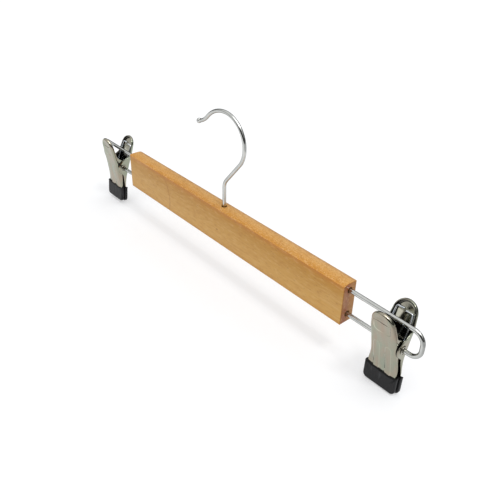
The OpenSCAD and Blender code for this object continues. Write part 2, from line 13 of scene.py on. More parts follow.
import bmesh
import bpy
import numpy as np
from mathutils import Matrix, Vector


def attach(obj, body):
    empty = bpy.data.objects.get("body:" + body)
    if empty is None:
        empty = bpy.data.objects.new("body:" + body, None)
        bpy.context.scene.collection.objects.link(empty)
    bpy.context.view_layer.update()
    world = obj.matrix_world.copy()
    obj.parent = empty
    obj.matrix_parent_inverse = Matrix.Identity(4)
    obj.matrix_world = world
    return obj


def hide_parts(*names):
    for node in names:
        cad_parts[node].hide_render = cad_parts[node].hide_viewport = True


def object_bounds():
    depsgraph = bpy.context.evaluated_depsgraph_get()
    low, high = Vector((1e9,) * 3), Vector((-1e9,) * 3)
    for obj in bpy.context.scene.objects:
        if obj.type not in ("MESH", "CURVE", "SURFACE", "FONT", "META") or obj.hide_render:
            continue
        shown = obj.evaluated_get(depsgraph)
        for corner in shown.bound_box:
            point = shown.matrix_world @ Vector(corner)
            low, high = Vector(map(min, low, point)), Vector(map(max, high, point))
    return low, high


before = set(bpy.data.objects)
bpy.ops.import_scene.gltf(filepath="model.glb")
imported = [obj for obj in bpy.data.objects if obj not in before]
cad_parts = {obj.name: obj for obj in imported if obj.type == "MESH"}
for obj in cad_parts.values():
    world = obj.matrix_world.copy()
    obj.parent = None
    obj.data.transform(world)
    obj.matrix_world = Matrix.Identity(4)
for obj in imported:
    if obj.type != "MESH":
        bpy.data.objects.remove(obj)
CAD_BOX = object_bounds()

Array = np.ndarray
Material = bpy.types.Material
Socket = bpy.types.NodeSocket
Triple = tuple[float, float, float]
Stops = tuple[tuple[float, str], ...]
Greys = tuple[tuple[float, float], ...]

LOG = logging.getLogger("skirt_hanger")
MM = 0.001
MERGE = 0.0005 * MM
MIRROR = np.array([-1, 1, 1])


# --- Grids of points and pieces ---


def grid_quads(rows: int, cols: int, wrap_rows: bool = False, wrap_cols: bool = False) -> Array:
    """Quads of a grid of points stored row by row.

    Each quad joins (i, j), (i, j + 1), (i + 1, j + 1) and (i + 1, j); a wrapped side joins last to first.

    Args:
        rows: number of rows.
        cols: number of points in a row.
        wrap_rows: whether the last row joins the first.
        wrap_cols: whether the last column joins the first.

    Returns:
        An array of point numbers, four to a quad.
    """
    i, j = np.meshgrid(np.arange(rows - (not wrap_rows)), np.arange(cols - (not wrap_cols)), indexing="ij")
    i, j = i.ravel(), j.ravel()
    i2, j2 = (i + 1) % rows, (j + 1) % cols
    return np.stack([i * cols + j, i * cols + j2, i2 * cols + j2, i2 * cols + j], axis=1)


@dataclass
class Shape:
    """Points in millimetres and the quads between them, gathered before they become a mesh."""

    points: Array
    quads: Array
    fields: dict[str, Array] = field(default_factory=dict)

    def mirrored(self) -> "Shape":
        """The same shape mirrored in x, with its faces turned over."""
        return Shape(self.points * MIRROR, self.quads[:, ::-1], self.fields)

    def joined(self, other: "Shape") -> "Shape":
        """This shape and another as one."""
        return Shape(
            np.concatenate([self.points, other.points]),
            np.concatenate([self.quads, other.quads + len(self.points)]),
            {key: np.concatenate([values, other.fields[key]]) for key, values in self.fields.items()},
        )


def linked(name: str, data: bpy.types.ID) -> bpy.types.Object:
    """A new object of that data in the scene."""
    thing = bpy.data.objects.new(name, data)
    bpy.context.scene.collection.objects.link(thing)
    return thing


def stand(thing: bpy.types.Object, axes: list[Array], at: Triple) -> None:
    """Puts a camera or lamp at a place in metres, with its own three axes along those given."""
    matrix = Matrix(np.stack(axes, axis=1).tolist()).to_4x4()
    matrix.translation = at
    thing.matrix_world = matrix


def add_piece(name: str, shape: Shape, body: str, material: Material, slot: str, *nodes: str) -> None:
    """Makes a smooth-shaded piece at the origin, unturned and unscaled, sets it to move with its body and hides
    the CAD nodes that it replaces.

    Args:
        name: the piece's name.
        shape: points in millimetres with their faces; doubles are merged.
        body: the CAD body that it moves with.
        material: its finish.
        slot: the record's slot of that finish. It is not used.
        nodes: the CAD nodes that it replaces.
    """
    mesh = bpy.data.meshes.new(name)
    mesh.from_pydata((shape.points * MM).tolist(), [], shape.quads.tolist())
    for key, values in shape.fields.items():
        mesh.attributes.new(key, "FLOAT", "POINT").data.foreach_set("value", values.astype(np.float32))
    work = bmesh.new()
    work.from_mesh(mesh)
    bmesh.ops.remove_doubles(work, verts=work.verts, dist=MERGE)
    bmesh.ops.dissolve_degenerate(work, edges=work.edges, dist=MERGE)
    bmesh.ops.recalc_face_normals(work, faces=work.faces)
    work.to_mesh(mesh)
    work.free()
    mesh.polygons.foreach_set("use_smooth", np.ones(len(mesh.polygons), bool))
    mesh.materials.append(material)
    mesh.update()
    piece = linked(name, mesh)
    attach(piece, body)
    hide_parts(*nodes)
    LOG.info("%s: %d faces on %s", name, len(mesh.polygons), body)


def polar(centre: tuple[float, float], radius: float, angle: Array | float) -> Array:
    """The point at an angle a in degrees, or the points: centre + radius (cos a, sin a)."""
    a = np.radians(angle)
    return np.stack([centre[0] + radius * np.cos(a), centre[1] + radius * np.sin(a)], axis=-1)


def arc(centre: tuple[float, float], radius: float, start: float, end: float, step: float = 3.0) -> Array:
    """Points of an arc in a plane.

    Args:
        centre: the arc's centre.
        radius: its radius.
        start: first angle, in degrees.
        end: last angle.
        step: largest step between two points.

    Returns:
        An array of points, two numbers each.
    """
    return polar(centre, radius, np.linspace(start, end, max(2, int(abs(end - start) / step) + 2)))


def without_doubles(path: Array, least: float = 1e-4) -> Array:
    """The path without points that repeat the one before."""
    keep = np.concatenate([[True], np.linalg.norm(np.diff(path, axis=0), axis=1) > least])
    return path[keep]


def carried_frames(path: Array, first: Array) -> tuple[Array, Array, Array]:
    """Tangents along a path, with two square directions carried along it without twist.

    The first direction at each station is the one before with its part along the new tangent taken off.

    Args:
        path: the points of the path.
        first: a direction that isn't along the path at its start.

    Returns:
        Tangents, first directions and second directions, one of each per point.
    """
    tangents = np.gradient(path, axis=0)
    tangents /= np.linalg.norm(tangents, axis=1, keepdims=True)
    sides = np.empty_like(path)
    side = first
    for k, tangent in enumerate(tangents):
        side = side - tangent * (side @ tangent)
        side /= np.linalg.norm(side)
        sides[k] = side
    return tangents, sides, np.cross(tangents, sides)


def wire(path: Array, radius: Array | float, first: Triple, sides: int) -> Shape:
    """A round wire along a path, closed at both ends.

    A point at station s and angle a is path(s) + radius(s) (first(s) cos a + second(s) sin a), and each
    end is drawn in to a point over a short soft edge.

    Args:
        path: the points of the centre line.
        radius: one radius, or one per point.
        first: a direction that isn't along the path at its start.
        sides: points round the wire.

    Returns:
        The closed shape.
    """
    path = without_doubles(path)
    r = np.broadcast_to(np.asarray(radius, float), (len(path),))
    tangents, one, two = carried_frames(path, np.asarray(first, float))
    a = np.linspace(0, 2 * math.pi, sides, endpoint=False)
    ring = one[:, None] * np.cos(a)[:, None] + two[:, None] * np.sin(a)[:, None]
    body = path[:, None] + r[:, None, None] * ring
    # The three rings that close an end, by their size and how far they lie out, in shares of the radius
    soft = 0.12
    caps = ((1e-4, soft), (1 - soft, soft), (1 - soft * 0.3, soft * 0.7))
    starts = [path[0] + r[0] * (size * ring[0] - out * tangents[0]) for size, out in caps]
    ends = [path[-1] + r[-1] * (size * ring[-1] + out * tangents[-1]) for size, out in caps[::-1]]
    rows = np.concatenate([starts, body, ends])
    return Shape(rows.reshape(-1, 3), grid_quads(len(rows), sides, wrap_cols=True))


def turned(profile: Array, sides: int = 64) -> Shape:
    """A profile turned about the X axis: (x, r) goes to (x, r cos a, r sin a), closed round and along.

    Args:
        profile: the closed outline, as (x, r) pairs.
        sides: points round.

    Returns:
        The closed ring.
    """
    a = np.linspace(0, 2 * math.pi, sides, endpoint=False)
    x, r = profile.T[:, :, None]
    points = np.stack(np.broadcast_arrays(x, r * np.cos(a), r * np.sin(a)), axis=2)
    return Shape(points.reshape(-1, 3), grid_quads(len(profile), sides, wrap_rows=True, wrap_cols=True))


def smooth_step(t: Array | float) -> Array | float:
    """Rises from 0 to 1 as t does, level at both ends."""
    t = np.clip(t, 0, 1)
    return t * t * (3 - 2 * t)


def soft_ramp(t: Array, blend: float) -> Array:
    """The step max(0, t) with its corner rounded: (t + sqrt(t^2 + blend^2)) / 2."""
    return (t + np.sqrt(t * t + blend * blend)) / 2


# --- Colours and nodes ---


def linear(hex_colour: str) -> tuple[float, float, float, float]:
    """Turns an sRGB hex colour into the linear values that a shader takes.

    Args:
        hex_colour: a hash and six hex digits.

    Returns:
        Linear red, green and blue, with an alpha of 1.
    """
    srgb = [int(hex_colour[i : i + 2], 16) / 255 for i in (1, 3, 5)]
    return (*(c / 12.92 if c <= 0.04045 else ((c + 0.055) / 1.055) ** 2.4 for c in srgb), 1.0)


def add_node(
    tree: bpy.types.NodeTree,
    kind: str,
    settings: dict[str, object] | None = None,
    inputs: dict[int | str, object] | None = None,
) -> bpy.types.Node:
    """Adds one node with its settings and its inputs.

    Args:
        tree: the node tree that takes it.
        kind: the node's type, such as "ShaderNodeMath".
        settings: attributes of the node. A key "ramp" holds (place, colour) pairs of a colour ramp,
            in rising order.
        inputs: a value, or an output socket to link, by the input's name or number.

    Returns:
        The new node.
    """
    node = tree.nodes.new(kind)
    for key, value in (settings or {}).items():
        if key == "ramp":
            stops = node.color_ramp.elements
            stops[0].position, stops[1].position = value[0][0], value[-1][0]
            for place, _ in value[1:-1]:
                stops.new(place)
            for stop, (_, colour) in zip(stops, value):
                stop.color = colour
        else:
            setattr(node, key, value)
    for key, value in (inputs or {}).items():
        if isinstance(value, Socket):
            tree.links.new(value, node.inputs[key])
        else:
            node.inputs[key].default_value = value
    return node


@dataclass
class Nodes:
    """A node tree, with short ways to the steps that the finishes share.

    A value is a number or a socket, and a colour is a socket, an sRGB hex or four linear numbers.
    """

    tree: bpy.types.NodeTree

    def coordinates(self, kind: str) -> Socket:
        """Texture coordinates of one kind."""
        return add_node(self.tree, "ShaderNodeTexCoord").outputs[kind]

    def split(self, vector: Socket) -> list[Socket]:
        """The three parts of a vector."""
        return list(add_node(self.tree, "ShaderNodeSeparateXYZ", None, {0: vector}).outputs)

    def attribute(self, name: str) -> Socket:
        """A number that the mesh's points carry."""
        return add_node(self.tree, "ShaderNodeAttribute", {"attribute_name": name}).outputs["Fac"]

    def is_ray(self, kind: str) -> Socket:
        """1 for a ray of one kind, such as "Camera", and 0 for the others."""
        return add_node(self.tree, "ShaderNodeLightPath").outputs[f"Is {kind} Ray"]

    def vector_maths(self, how: str, *vectors: object) -> Socket:
        """The number that one step of vector arithmetic gives, such as "LENGTH"."""
        inputs = dict(enumerate(vectors))
        return add_node(self.tree, "ShaderNodeVectorMath", {"operation": how}, inputs).outputs["Value"]

    def maths(self, how: str, *values: object) -> Socket:
        """One step of arithmetic, such as "ADD"."""
        return add_node(self.tree, "ShaderNodeMath", {"operation": how}, dict(enumerate(values))).outputs[0]

    def times(self, one: object, two: object) -> Socket:
        """The product of two values."""
        return self.maths("MULTIPLY", one, two)

    def ranged(
        self, value: Socket, low: float, high: float, to_low: float = 0.0, to_high: float = 1.0
    ) -> Socket:
        """A value carried smoothly from one range to another.

        Args:
            value: the socket.
            low: the value that gives to_low.
            high: the value that gives to_high.
            to_low: result at and before low.
            to_high: result at and past high.

        Returns:
            The result.
        """
        inputs = {"Value": value, "From Min": low, "From Max": high, "To Min": to_low, "To Max": to_high}
        node = add_node(self.tree, "ShaderNodeMapRange", {"interpolation_type": "SMOOTHSTEP"}, inputs)
        return node.outputs[0]

    def ramp(self, share: Socket, stops: list[tuple[float, tuple[float, ...]]]) -> Socket:
        """A colour that changes along a share, by its (place, linear colour) stops."""
        return add_node(self.tree, "ShaderNodeValToRGB", {"ramp": stops}, {0: share}).outputs[0]

    def layered(self, colour: object, *layers: tuple[object, object]) -> Socket:
        """A colour with others laid over it in turn.

        Args:
            colour: the ground.
            layers: pairs of a share, 0 for the ground, and the colour over it.

        Returns:
            The mixed colour.
        """
        for share, over in layers:
            low, high = (linear(c) if isinstance(c, str) else c for c in (colour, over))
            inputs = {0: share, 6: low, 7: high}
            colour = add_node(self.tree, "ShaderNodeMix", {"data_type": "RGBA"}, inputs).outputs[2]
        return colour

    def place(self, scale: Triple, turn: float = 0.0) -> Socket:
        """Object coordinates, set for a pattern.

        Args:
            scale: pattern units per metre along each axis.
            turn: turn of the pattern about Y, in degrees.

        Returns:
            The mapped coordinates.
        """
        inputs = {"Vector": self.coordinates("Object"), "Scale": scale, "Rotation": (0, math.radians(turn), 0)}
        return add_node(self.tree, "ShaderNodeMapping", None, inputs).outputs["Vector"]

    def noise(self, scale: Triple, detail: float, roughness: float, turn: float = 0.0) -> Socket:
        """Noise, mostly between 0.3 and 0.7.

        Args:
            scale: pattern units per metre along each axis; a mark is half a unit to a unit.
            detail: octaves of finer marks in it.
            roughness: how strong they are.
            turn: turn of the pattern about Y, in degrees.

        Returns:
            The noise.
        """
        inputs = {"Vector": self.place(scale, turn), "Scale": 1.0, "Detail": detail, "Roughness": roughness}
        return add_node(self.tree, "ShaderNodeTexNoise", None, inputs).outputs["Fac"]

    def relief(self, height: Socket, strength: float, distance: float) -> Socket:
        """The normal of a surface with a relief; the distance is in metres."""
        inputs = {"Height": height, "Strength": strength, "Distance": distance}
        return add_node(self.tree, "ShaderNodeBump", None, inputs).outputs["Normal"]

    def grain(self, size: tuple[float, float], detail: float, turn: float = 0.0) -> Socket:
        """Noise drawn out along X.

        Args:
            size: length and width of one mark in millimetres.
            detail: octaves of finer marks in it.
            turn: how far the marks run across X, in degrees.

        Returns:
            The noise.
        """
        along, across = (0.5 / (side * MM) for side in size)
        return self.noise((along, across, across), detail, 0.6, turn)

    def toned(self, along: Socket, stops: Stops) -> Socket:
        """A colour that changes along one axis.

        Args:
            along: the coordinate, in metres.
            stops: places in millimetres, rising, each with its colour.

        Returns:
            The colour.
        """
        first, span = stops[0][0], stops[-1][0] - stops[0][0]
        share = self.maths("MULTIPLY_ADD", along, 1 / (span * MM), -first / span)
        return self.ramp(share, [((place - first) / span, linear(colour)) for place, colour in stops])

    def away(self, one: Socket, two: Socket, at: tuple[float, float], squeeze: float = 1.0) -> Socket:
        """Distance in millimetres from a line square to two axes.

        Args:
            one: the first coordinate, in metres.
            two: the second coordinate.
            at: where the line crosses them, in millimetres.
            squeeze: what the first axis is multiplied by.

        Returns:
            The distance.
        """
        one_mm = self.maths("MULTIPLY_ADD", one, squeeze / MM, -squeeze * at[0])
        two_mm = self.maths("MULTIPLY_ADD", two, 1 / MM, -at[1])
        return self.maths("SQRT", self.maths("ADD", self.times(one_mm, one_mm), self.times(two_mm, two_mm)))

    def surface(self, colour: Socket, rough: Socket, **others: object) -> None:
        """Ends a material with its shader and its output.

        Args:
            colour: its colour.
            rough: its roughness.
            others: other inputs of the Principled shader, with _ for a space.
        """
        inputs = {"Base Color": colour, "Roughness": rough}
        inputs.update((key.replace("_", " "), value) for key, value in others.items())
        shader = add_node(self.tree, "ShaderNodeBsdfPrincipled", None, inputs)
        add_node(self.tree, "ShaderNodeOutputMaterial", None, {"Surface": shader.outputs["BSDF"]})


def new_material(name: str) -> tuple[Material, Nodes]:
    """A new material and its empty tree."""
    material = bpy.data.materials.new(name)
    material.use_nodes = True
    material.node_tree.nodes.clear()
    return material, Nodes(material.node_tree)


# --- Finishes ---


@dataclass(frozen=True)
class LacqueredBeech:
    """Planed beech under a clear satin lacquer that has yellowed to honey.

    It gives a warm, almost even colour, painted lighter down the front towards its lower edge as painted
    light bounced up from the floor, and so deeper under the top edge; short flecks and darker pores along
    the grain, one faint ring of an old branch, browner softened edges, thirsty dark end grain and a soft,
    dulled gloss. Lengths and places are in millimetres.
    """

    # Tones up the front, and across the top and the ends. The front's tones are painted lighter towards its
    # lower edge, a painted glow of light bounced up from the floor
    front_tones_with_painted_bounce: Stops = (
        (-103.0, "#C28D3A"), (-101.2, "#C99343"), (-99.5, "#CF9F52"), (-95.0, "#CF9F52"), (-87.0, "#C89749"),
        (-81.0, "#C08E3D"), (-77.0, "#BE8831"), (-74.6, "#BD7E27"), (-73.0, "#C07D27"),
    )
    top_tones: Stops = (
        (-6.0, "#CB8A2E"), (-4.2, "#CC8D31"), (-2.0, "#D29948"), (1.0, "#D5A056"), (3.0, "#D9A662"),
        (4.4, "#C5935A"), (6.0, "#BA8A53"),
    )
    end_tones: Stops = ((-6.0, "#925727"), (-2.0, "#8E4B27"), (1.5, "#A46B27"), (6.0, "#A06B27"))
    dark: str = "#AC7230"
    pale: str = "#E0BC84"
    pore: str = "#8E5A24"
    hole: str = "#38240F"
    # Length and width of each kind of mark. The flecks of beech are 1 to 3 mm long and a hair wide,
    # and they are drawn larger so that they show
    fleck_size: tuple[float, float] = (3.6, 1.0)
    fibre_size: tuple[float, float] = (14.0, 0.5)
    cloud_size: tuple[float, float] = (24.0, 7.0)
    dash_size: tuple[float, float] = (0.6, 0.42)
    pore_size: tuple[float, float] = (3.0, 0.5)
    ring_at: tuple[float, float] = (-93.0, -93.0)
    ring_r: float = 27.8
    knot_at: tuple[float, float] = (-1.8, -90.9)
    # The radius within which a hole is dark, and the heights of the rails' holes
    hole_r: float = 2.21
    rail_hole_z: tuple[float, float] = (-77.6, -96.2)

    def colour(self, nodes: Nodes, fleck: Socket, fibre: Socket, pores: Socket) -> Socket:
        """The wood's colour.

        Args:
            nodes: the tree.
            fleck: noise of the flecks.
            fibre: noise of the fibres.
            pores: share of pore at each point.

        Returns:
            The colour, with edges, ends, ring, knot and holes in it.
        """
        ranged, times, away = nodes.ranged, nodes.times, nodes.away
        x, y, z = nodes.split(nodes.coordinates("Object"))
        facing = nodes.split(nodes.coordinates("Normal"))
        flat = [nodes.maths("ABSOLUTE", part) for part in facing]
        upward = ranged(facing[2], 0.45, 0.9)
        cloud = nodes.grain(self.cloud_size, 2.0, 4.0)
        dash = nodes.grain(self.dash_size, 1.0)
        # An old branch left a ring on the front face near the left end, widest at mid height
        ring = nodes.maths("SUBTRACT", away(x, z, self.ring_at), self.ring_r)
        ring = nodes.maths("ADD", ring, nodes.maths("MULTIPLY_ADD", fleck, 1.6, -0.8))
        ring = ranged(nodes.maths("ABSOLUTE", ring), 1.1, 0.15, 0.0, 0.5)
        ring_side = times(ranged(flat[1], 0.7, 0.95), ranged(x, -0.08, -0.07))
        # A pin knot, longer than it is high
        knot = ranged(away(x, z, self.knot_at, 0.5), 0.75, 0.3, 0.0, 0.7)
        # On a softened edge no part of the normal is near 1
        most = nodes.maths("MAXIMUM", nodes.maths("MAXIMUM", flat[0], flat[1]), flat[2])
        # A hole is as dark as the shade in it: nearer to a wire's axis than the hole's own radius
        wall = (self.hole_r, self.hole_r - 0.05)
        holes = ranged(away(x, y, (0.0, 0.0)), *wall, 0.0, 0.35)
        for hole_z in self.rail_hole_z:
            holes = nodes.maths("MAXIMUM", holes, ranged(away(y, z, (0.0, hole_z)), *wall))
        return nodes.layered(
            # Each face has its own run of tone, and the softened edges pass from one to the next
            # The front's run of tone holds painted bounce light from the floor, lighter towards its lower edge
            nodes.toned(z, self.front_tones_with_painted_bounce),
            (upward, nodes.toned(y, self.top_tones)),
            (ranged(flat[0], 0.6, 0.95), nodes.toned(y, self.end_tones)),
            # Slow clouds of tone, then flecks both darker and paler than the ground, then fibres
            (ranged(cloud, 0.52, 0.75, 0.0, 0.16), self.dark),
            (ranged(cloud, 0.48, 0.25, 0.0, 0.14), self.pale),
            (ranged(fleck, 0.5, 0.7, 0.0, 0.30), self.dark),
            (ranged(fleck, 0.5, 0.3, 0.0, 0.22), self.pale),
            (ranged(fibre, 0.5, 0.7, 0.0, 0.25), self.dark),
            (times(pores, 0.3), self.pore),
            # The top is sawn across the flecks, which show there as short pale and dark dashes
            (times(ranged(dash, 0.52, 0.68, 0.0, 0.5), upward), self.pale),
            (times(ranged(dash, 0.48, 0.32, 0.0, 0.5), upward), self.dark),
            (times(ring, ring_side), self.dark),
            (times(knot, flat[1]), self.pore),
            (ranged(most, 0.93, 0.72, 0.0, 0.35), self.pore),
            (holes, self.hole),
        )

    def make(self) -> Material:
        """Builds the material.

        Returns:
            The finished material.
        """
        material, nodes = new_material("lacquered_beech")
        fleck = nodes.grain(self.fleck_size, 2.0, 3.0)
        fibre = nodes.grain(self.fibre_size, 4.0)
        along, across = 0.5 / (self.pore_size[0] * MM), 0.25 / (self.pore_size[1] * MM)
        inputs = {"Vector": nodes.place((along, across, across)), "Scale": 1.0}
        spots = add_node(nodes.tree, "ShaderNodeTexVoronoi", None, inputs)
        pores = nodes.ranged(spots.outputs["Distance"], 0.22, 0.10)
        nodes.surface(
            self.colour(nodes, fleck, fibre, pores),
            nodes.ranged(fibre, 0.3, 0.7, 0.36, 0.48),
            Normal=nodes.relief(nodes.maths("SUBTRACT", fibre, nodes.times(pores, 0.8)), 0.25, 0.00008),
            Specular_IOR_Level=0.35,
            Coat_Weight=0.08,
            Coat_Roughness=0.3,
        )
        return material


@dataclass(frozen=True)
class ChromedWire:
    """Drawn steel wire, polished and chrome plated.

    It gives long bright and dark streaks along the wire, slightly broken by the faint ripple that
    drawing leaves under the plate.
    """

    plate: str = "#CBCCC9"
    ripple: str = "#BDBFBC"
    edge: str = "#8C8C8A"
    ripple_mm: float = 9.0

    def make(self) -> Material:
        """Builds the material.

        Returns:
            The finished material.
        """
        material, nodes = new_material("chromed_wire")
        ripple = nodes.noise((1 / (self.ripple_mm * MM),) * 3, 5.0, 0.6)
        nodes.surface(
            nodes.layered(self.plate, (nodes.ranged(ripple, 0.35, 0.7), self.ripple)),
            nodes.ranged(ripple, 0.3, 0.7, 0.05, 0.12),
            Normal=nodes.relief(ripple, 0.12, 0.0002),
            Metallic=1.0,
            # Chrome is darker than its face-on value just short of its edge
            Specular_Tint=linear(self.edge),
        )
        return material


@dataclass(frozen=True)
class PlatedSheet:
    """Cold-rolled sheet steel, drawn in a press and barrel plated with bright nickel.

    It gives a mirror with a warm grey cast on the outside, crossed by fine streaks along the plate
    where the rolled surface shows through, and a darker inside that is painted shade. Painted highlights
    and painted shade lie round the pressings, the back of the finger panel gets a painted highlight, and
    a pink cast between the pressings is partly the nickel's own and partly a painted reflection of the bar.
    """

    outside: str = "#A3A393"
    green_cast: str = "#979E8D"
    rose_cast: str = "#A59787"
    # Painted shade for the inner faces, in the hollow between the plates
    inside: str = "#5C5B56"
    # Painted highlight and painted shade for the edges of the pressings
    painted_highlight: str = "#CFCDBC"
    painted_shade: str = "#5F6458"
    streak_width: float = 2.7
    streak_length: float = 16.0

    def make(self) -> Material:
        """Builds the material.

        Returns:
            The finished material.
        """
        material, nodes = new_material("plated_sheet_steel")
        streaks = nodes.noise((1 / (self.streak_width * MM), 30, 1 / (self.streak_length * MM)), 4.0, 0.62)
        # Patches of cast are about 6 mm wide and 17 mm long
        patches = nodes.noise((170, 60, 60), 2.0, 0.5)
        # A signed share of painted light: above 0 a painted highlight, below 0 painted shade
        painted_light = nodes.attribute("burnish")
        colour = nodes.layered(
            self.green_cast,
            (nodes.ranged(patches, 0.36, 0.64), self.rose_cast),
            # A rosy cast between the pressings, partly the nickel's own and partly a painted reflection of the
            # beech bar
            (nodes.times(nodes.attribute("rosy"), 0.5), self.rose_cast),
            (nodes.ranged(streaks, 0.3, 0.7, 0.0, 0.6), self.outside),
            # Painted highlights on the raised edges of the pressings and painted shade on their hollow edges,
            # laid by a signed share
            (nodes.ranged(painted_light, 0.0, 1.0, 0.0, 0.7), self.painted_highlight),
            (nodes.ranged(painted_light, 0.0, -1.0, 0.0, 0.6), self.painted_shade),
            # The inner faces are painted darker as painted shade, except the back of the finger panel
            (nodes.attribute("inside"), self.inside),
        )
        relief = nodes.relief(streaks, 0.18, 0.00015)
        nodes.surface(colour, nodes.ranged(streaks, 0.3, 0.75, 0.07, 0.18), Normal=relief, Metallic=1.0)
        return material


@dataclass(frozen=True)
class DippedVinyl:
    """Soft black vinyl from a dip, cured in an oven.

    It gives a near-black skin with a soft satin sheen, faintly uneven where the dip ran down, with lighter
    streaks along the runs that are painted highlights, and painted shade along the rolled top edge.
    """

    skin: str = "#18181A"
    # Painted highlight streaks along the runs
    painted_light: str = "#3A3A3C"
    # Painted shade along the rolled top edge
    edge_shade: str = "#040404"
    run_width: float = 3.0

    def make(self) -> Material:
        """Builds the material.

        Returns:
            The finished material.
        """
        material, nodes = new_material("dipped_soft_vinyl")
        # A run is four times as long as it is wide, and the grit is 0.3 mm
        run = 1 / (self.run_width * MM)
        runs = nodes.noise((run, 200, run / 4), 3.0, 0.5)
        grit = nodes.noise((3500, 3500, 3500), 2.0, 0.6)
        # The lighter streaks along the runs are painted highlights
        painted_light = nodes.ranged(runs, 0.54, 0.78)
        nodes.surface(
            # The rolled top edge is painted near black as painted shade
            nodes.layered(self.skin, (painted_light, self.painted_light), (nodes.attribute("bead"), self.edge_shade)),
            nodes.ranged(runs, 0.3, 0.7, 0.36, 0.5),
            Normal=nodes.relief(nodes.maths("ADD", runs, nodes.times(grit, 0.08)), 0.35, 0.0004),
            Specular_IOR_Level=0.24,
        )
        return material


@dataclass(frozen=True)
class ClearPlate:
    """A plated metal without relief, its colour and roughness varied by one noise."""

    name: str
    plate: str
    other: str
    scale: Triple
    noise: tuple[float, float]
    other_from: tuple[float, float]
    rough: tuple[float, float]

    def make(self) -> Material:
        """Builds the material.

        Returns:
            The finished material.
        """
        material, nodes = new_material(self.name)
        noise = nodes.noise(self.scale, *self.noise)
        colour = nodes.layered(self.plate, (nodes.ranged(noise, *self.other_from), self.other))
        nodes.surface(colour, nodes.ranged(noise, 0.3, 0.7, *self.rough), Metallic=1.0)
        return material


# Hard-drawn spring wire with a bright, faintly blue zinc plate, in clouds of about 3 mm. It gives cool
# glints on each turn against the dark inside of the clip
SPRING_STEEL = ClearPlate(
    "zinc_plated_spring_wire", "#E6E8EA", "#C8D4DE", (350, 350, 350), (3.0, 0.6), (0.4, 0.65), (0.22, 0.34)
)

# Thin welded tube, nickel plated, with its ends rolled over and scuffs 4 mm long and 1 mm wide. It gives
# a plain bright band between the ears and a ring of light round each rolled lip
PLATED_TUBE = ClearPlate(
    "plated_pivot_tube", "#B9B6A9", "#98958A", (250, 900, 900), (4.0, 0.65), (0.4, 0.7), (0.15, 0.3)
)


@dataclass(frozen=True)
class Finishes:
    """All the finishes of the hanger, made once."""

    beech: Material
    chrome: Material
    sheet: Material
    vinyl: Material
    spring: Material
    tube: Material


# --- Bar, hook and rails ---


@dataclass
class Bar:
    """The wooden bar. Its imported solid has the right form, so it is only given its wood."""

    finishes: Finishes

    def build(self) -> None:
        """Gives the bar's own mesh the beech material."""
        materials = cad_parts["bar"].data.materials
        materials.clear()
        materials.append(self.finishes.beech)
        LOG.info("bar: dressed")


@dataclass
class Hook:
    """The wire hook: shank, bend, slant, round part, lip and turned-out tip with its ball."""

    finishes: Finishes
    wire_d: float = 2.8
    inner_d: float = 38.6
    seat_h: float = 72.0
    offset: float = 1.3
    slant_angle: float = 49.3
    neck_r: float = 10.0
    lip_r: float = 28.0
    lip_angle: float = 47.0
    tip_r: float = 22.0
    tip_angle: float = 32.0
    ball_d: float = 3.9
    depth: float = 24.0

    def centre_line(self) -> Array:
        """The hook's centre line in the upright plane, from the shank's foot to the ball.

        Returns:
            Points in millimetres, with y at 0.
        """
        r = (self.inner_d + self.wire_d) / 2
        centre = (self.offset, -self.inner_d / 2)
        turn = 90 - self.slant_angle
        slant_end = polar(centre, r, -turn)
        corner_z = slant_end[1] - slant_end[0] * math.tan(math.radians(self.slant_angle))
        neck_z = corner_z - self.neck_r * math.tan(math.radians(turn / 2))
        shank = np.linspace((0, -self.seat_h - self.depth), (0, neck_z), 24)
        neck = arc((self.neck_r, neck_z), self.neck_r, 180, 180 - turn)
        slant = np.linspace(neck[-1], slant_end, 12)
        round_part = arc(centre, r, -turn, 90)
        lip_centre = (centre[0], centre[1] + r - self.lip_r)
        lip_end = 90 + self.lip_angle
        lip = arc(lip_centre, self.lip_r, 90, lip_end)
        tip_centre = polar(lip_centre, self.lip_r + self.tip_r, lip_end)
        tip = arc(tip_centre, self.tip_r, lip_end - 180, lip_end - 180 - self.tip_angle, step=1.0)
        flat = without_doubles(np.concatenate([shank, neck, slant, round_part, lip, tip]))
        return np.insert(flat, 1, 0.0, axis=1)

    def build(self) -> None:
        """Builds the wire with its ball: the radius swells round the last point of the centre line."""
        path = self.centre_line()
        wire_r, ball_r = self.wire_d / 2, self.ball_d / 2
        last = path[-1]
        direction = (last - path[-2]) / np.linalg.norm(last - path[-2])
        body = path[np.linalg.norm(path - last, axis=1) > ball_r]
        # The ball: r = sqrt(ball_r^2 - s^2) at distance s before or past its centre
        join = math.sqrt(ball_r**2 - wire_r**2)
        s = -ball_r * np.cos(np.linspace(math.acos(join / ball_r), math.pi * 0.985, 26))
        radii = np.concatenate([np.full(len(body), wire_r), np.sqrt(np.maximum(ball_r**2 - s**2, 1e-6))])
        shape = wire(np.concatenate([body, last + s[:, None] * direction]), radii, (0, 1, 0), sides=40)
        add_piece("hook_wire", shape, "hook", self.finishes.chrome, "chrome_wire", "hook")


class Side(Enum):
    """Which end of the bar a rail or clip is on; the value is its sign along X."""

    LEFT = -1
    RIGHT = 1

    @property
    def word(self) -> str:
        """The side as names have it."""
        return self.name.lower()


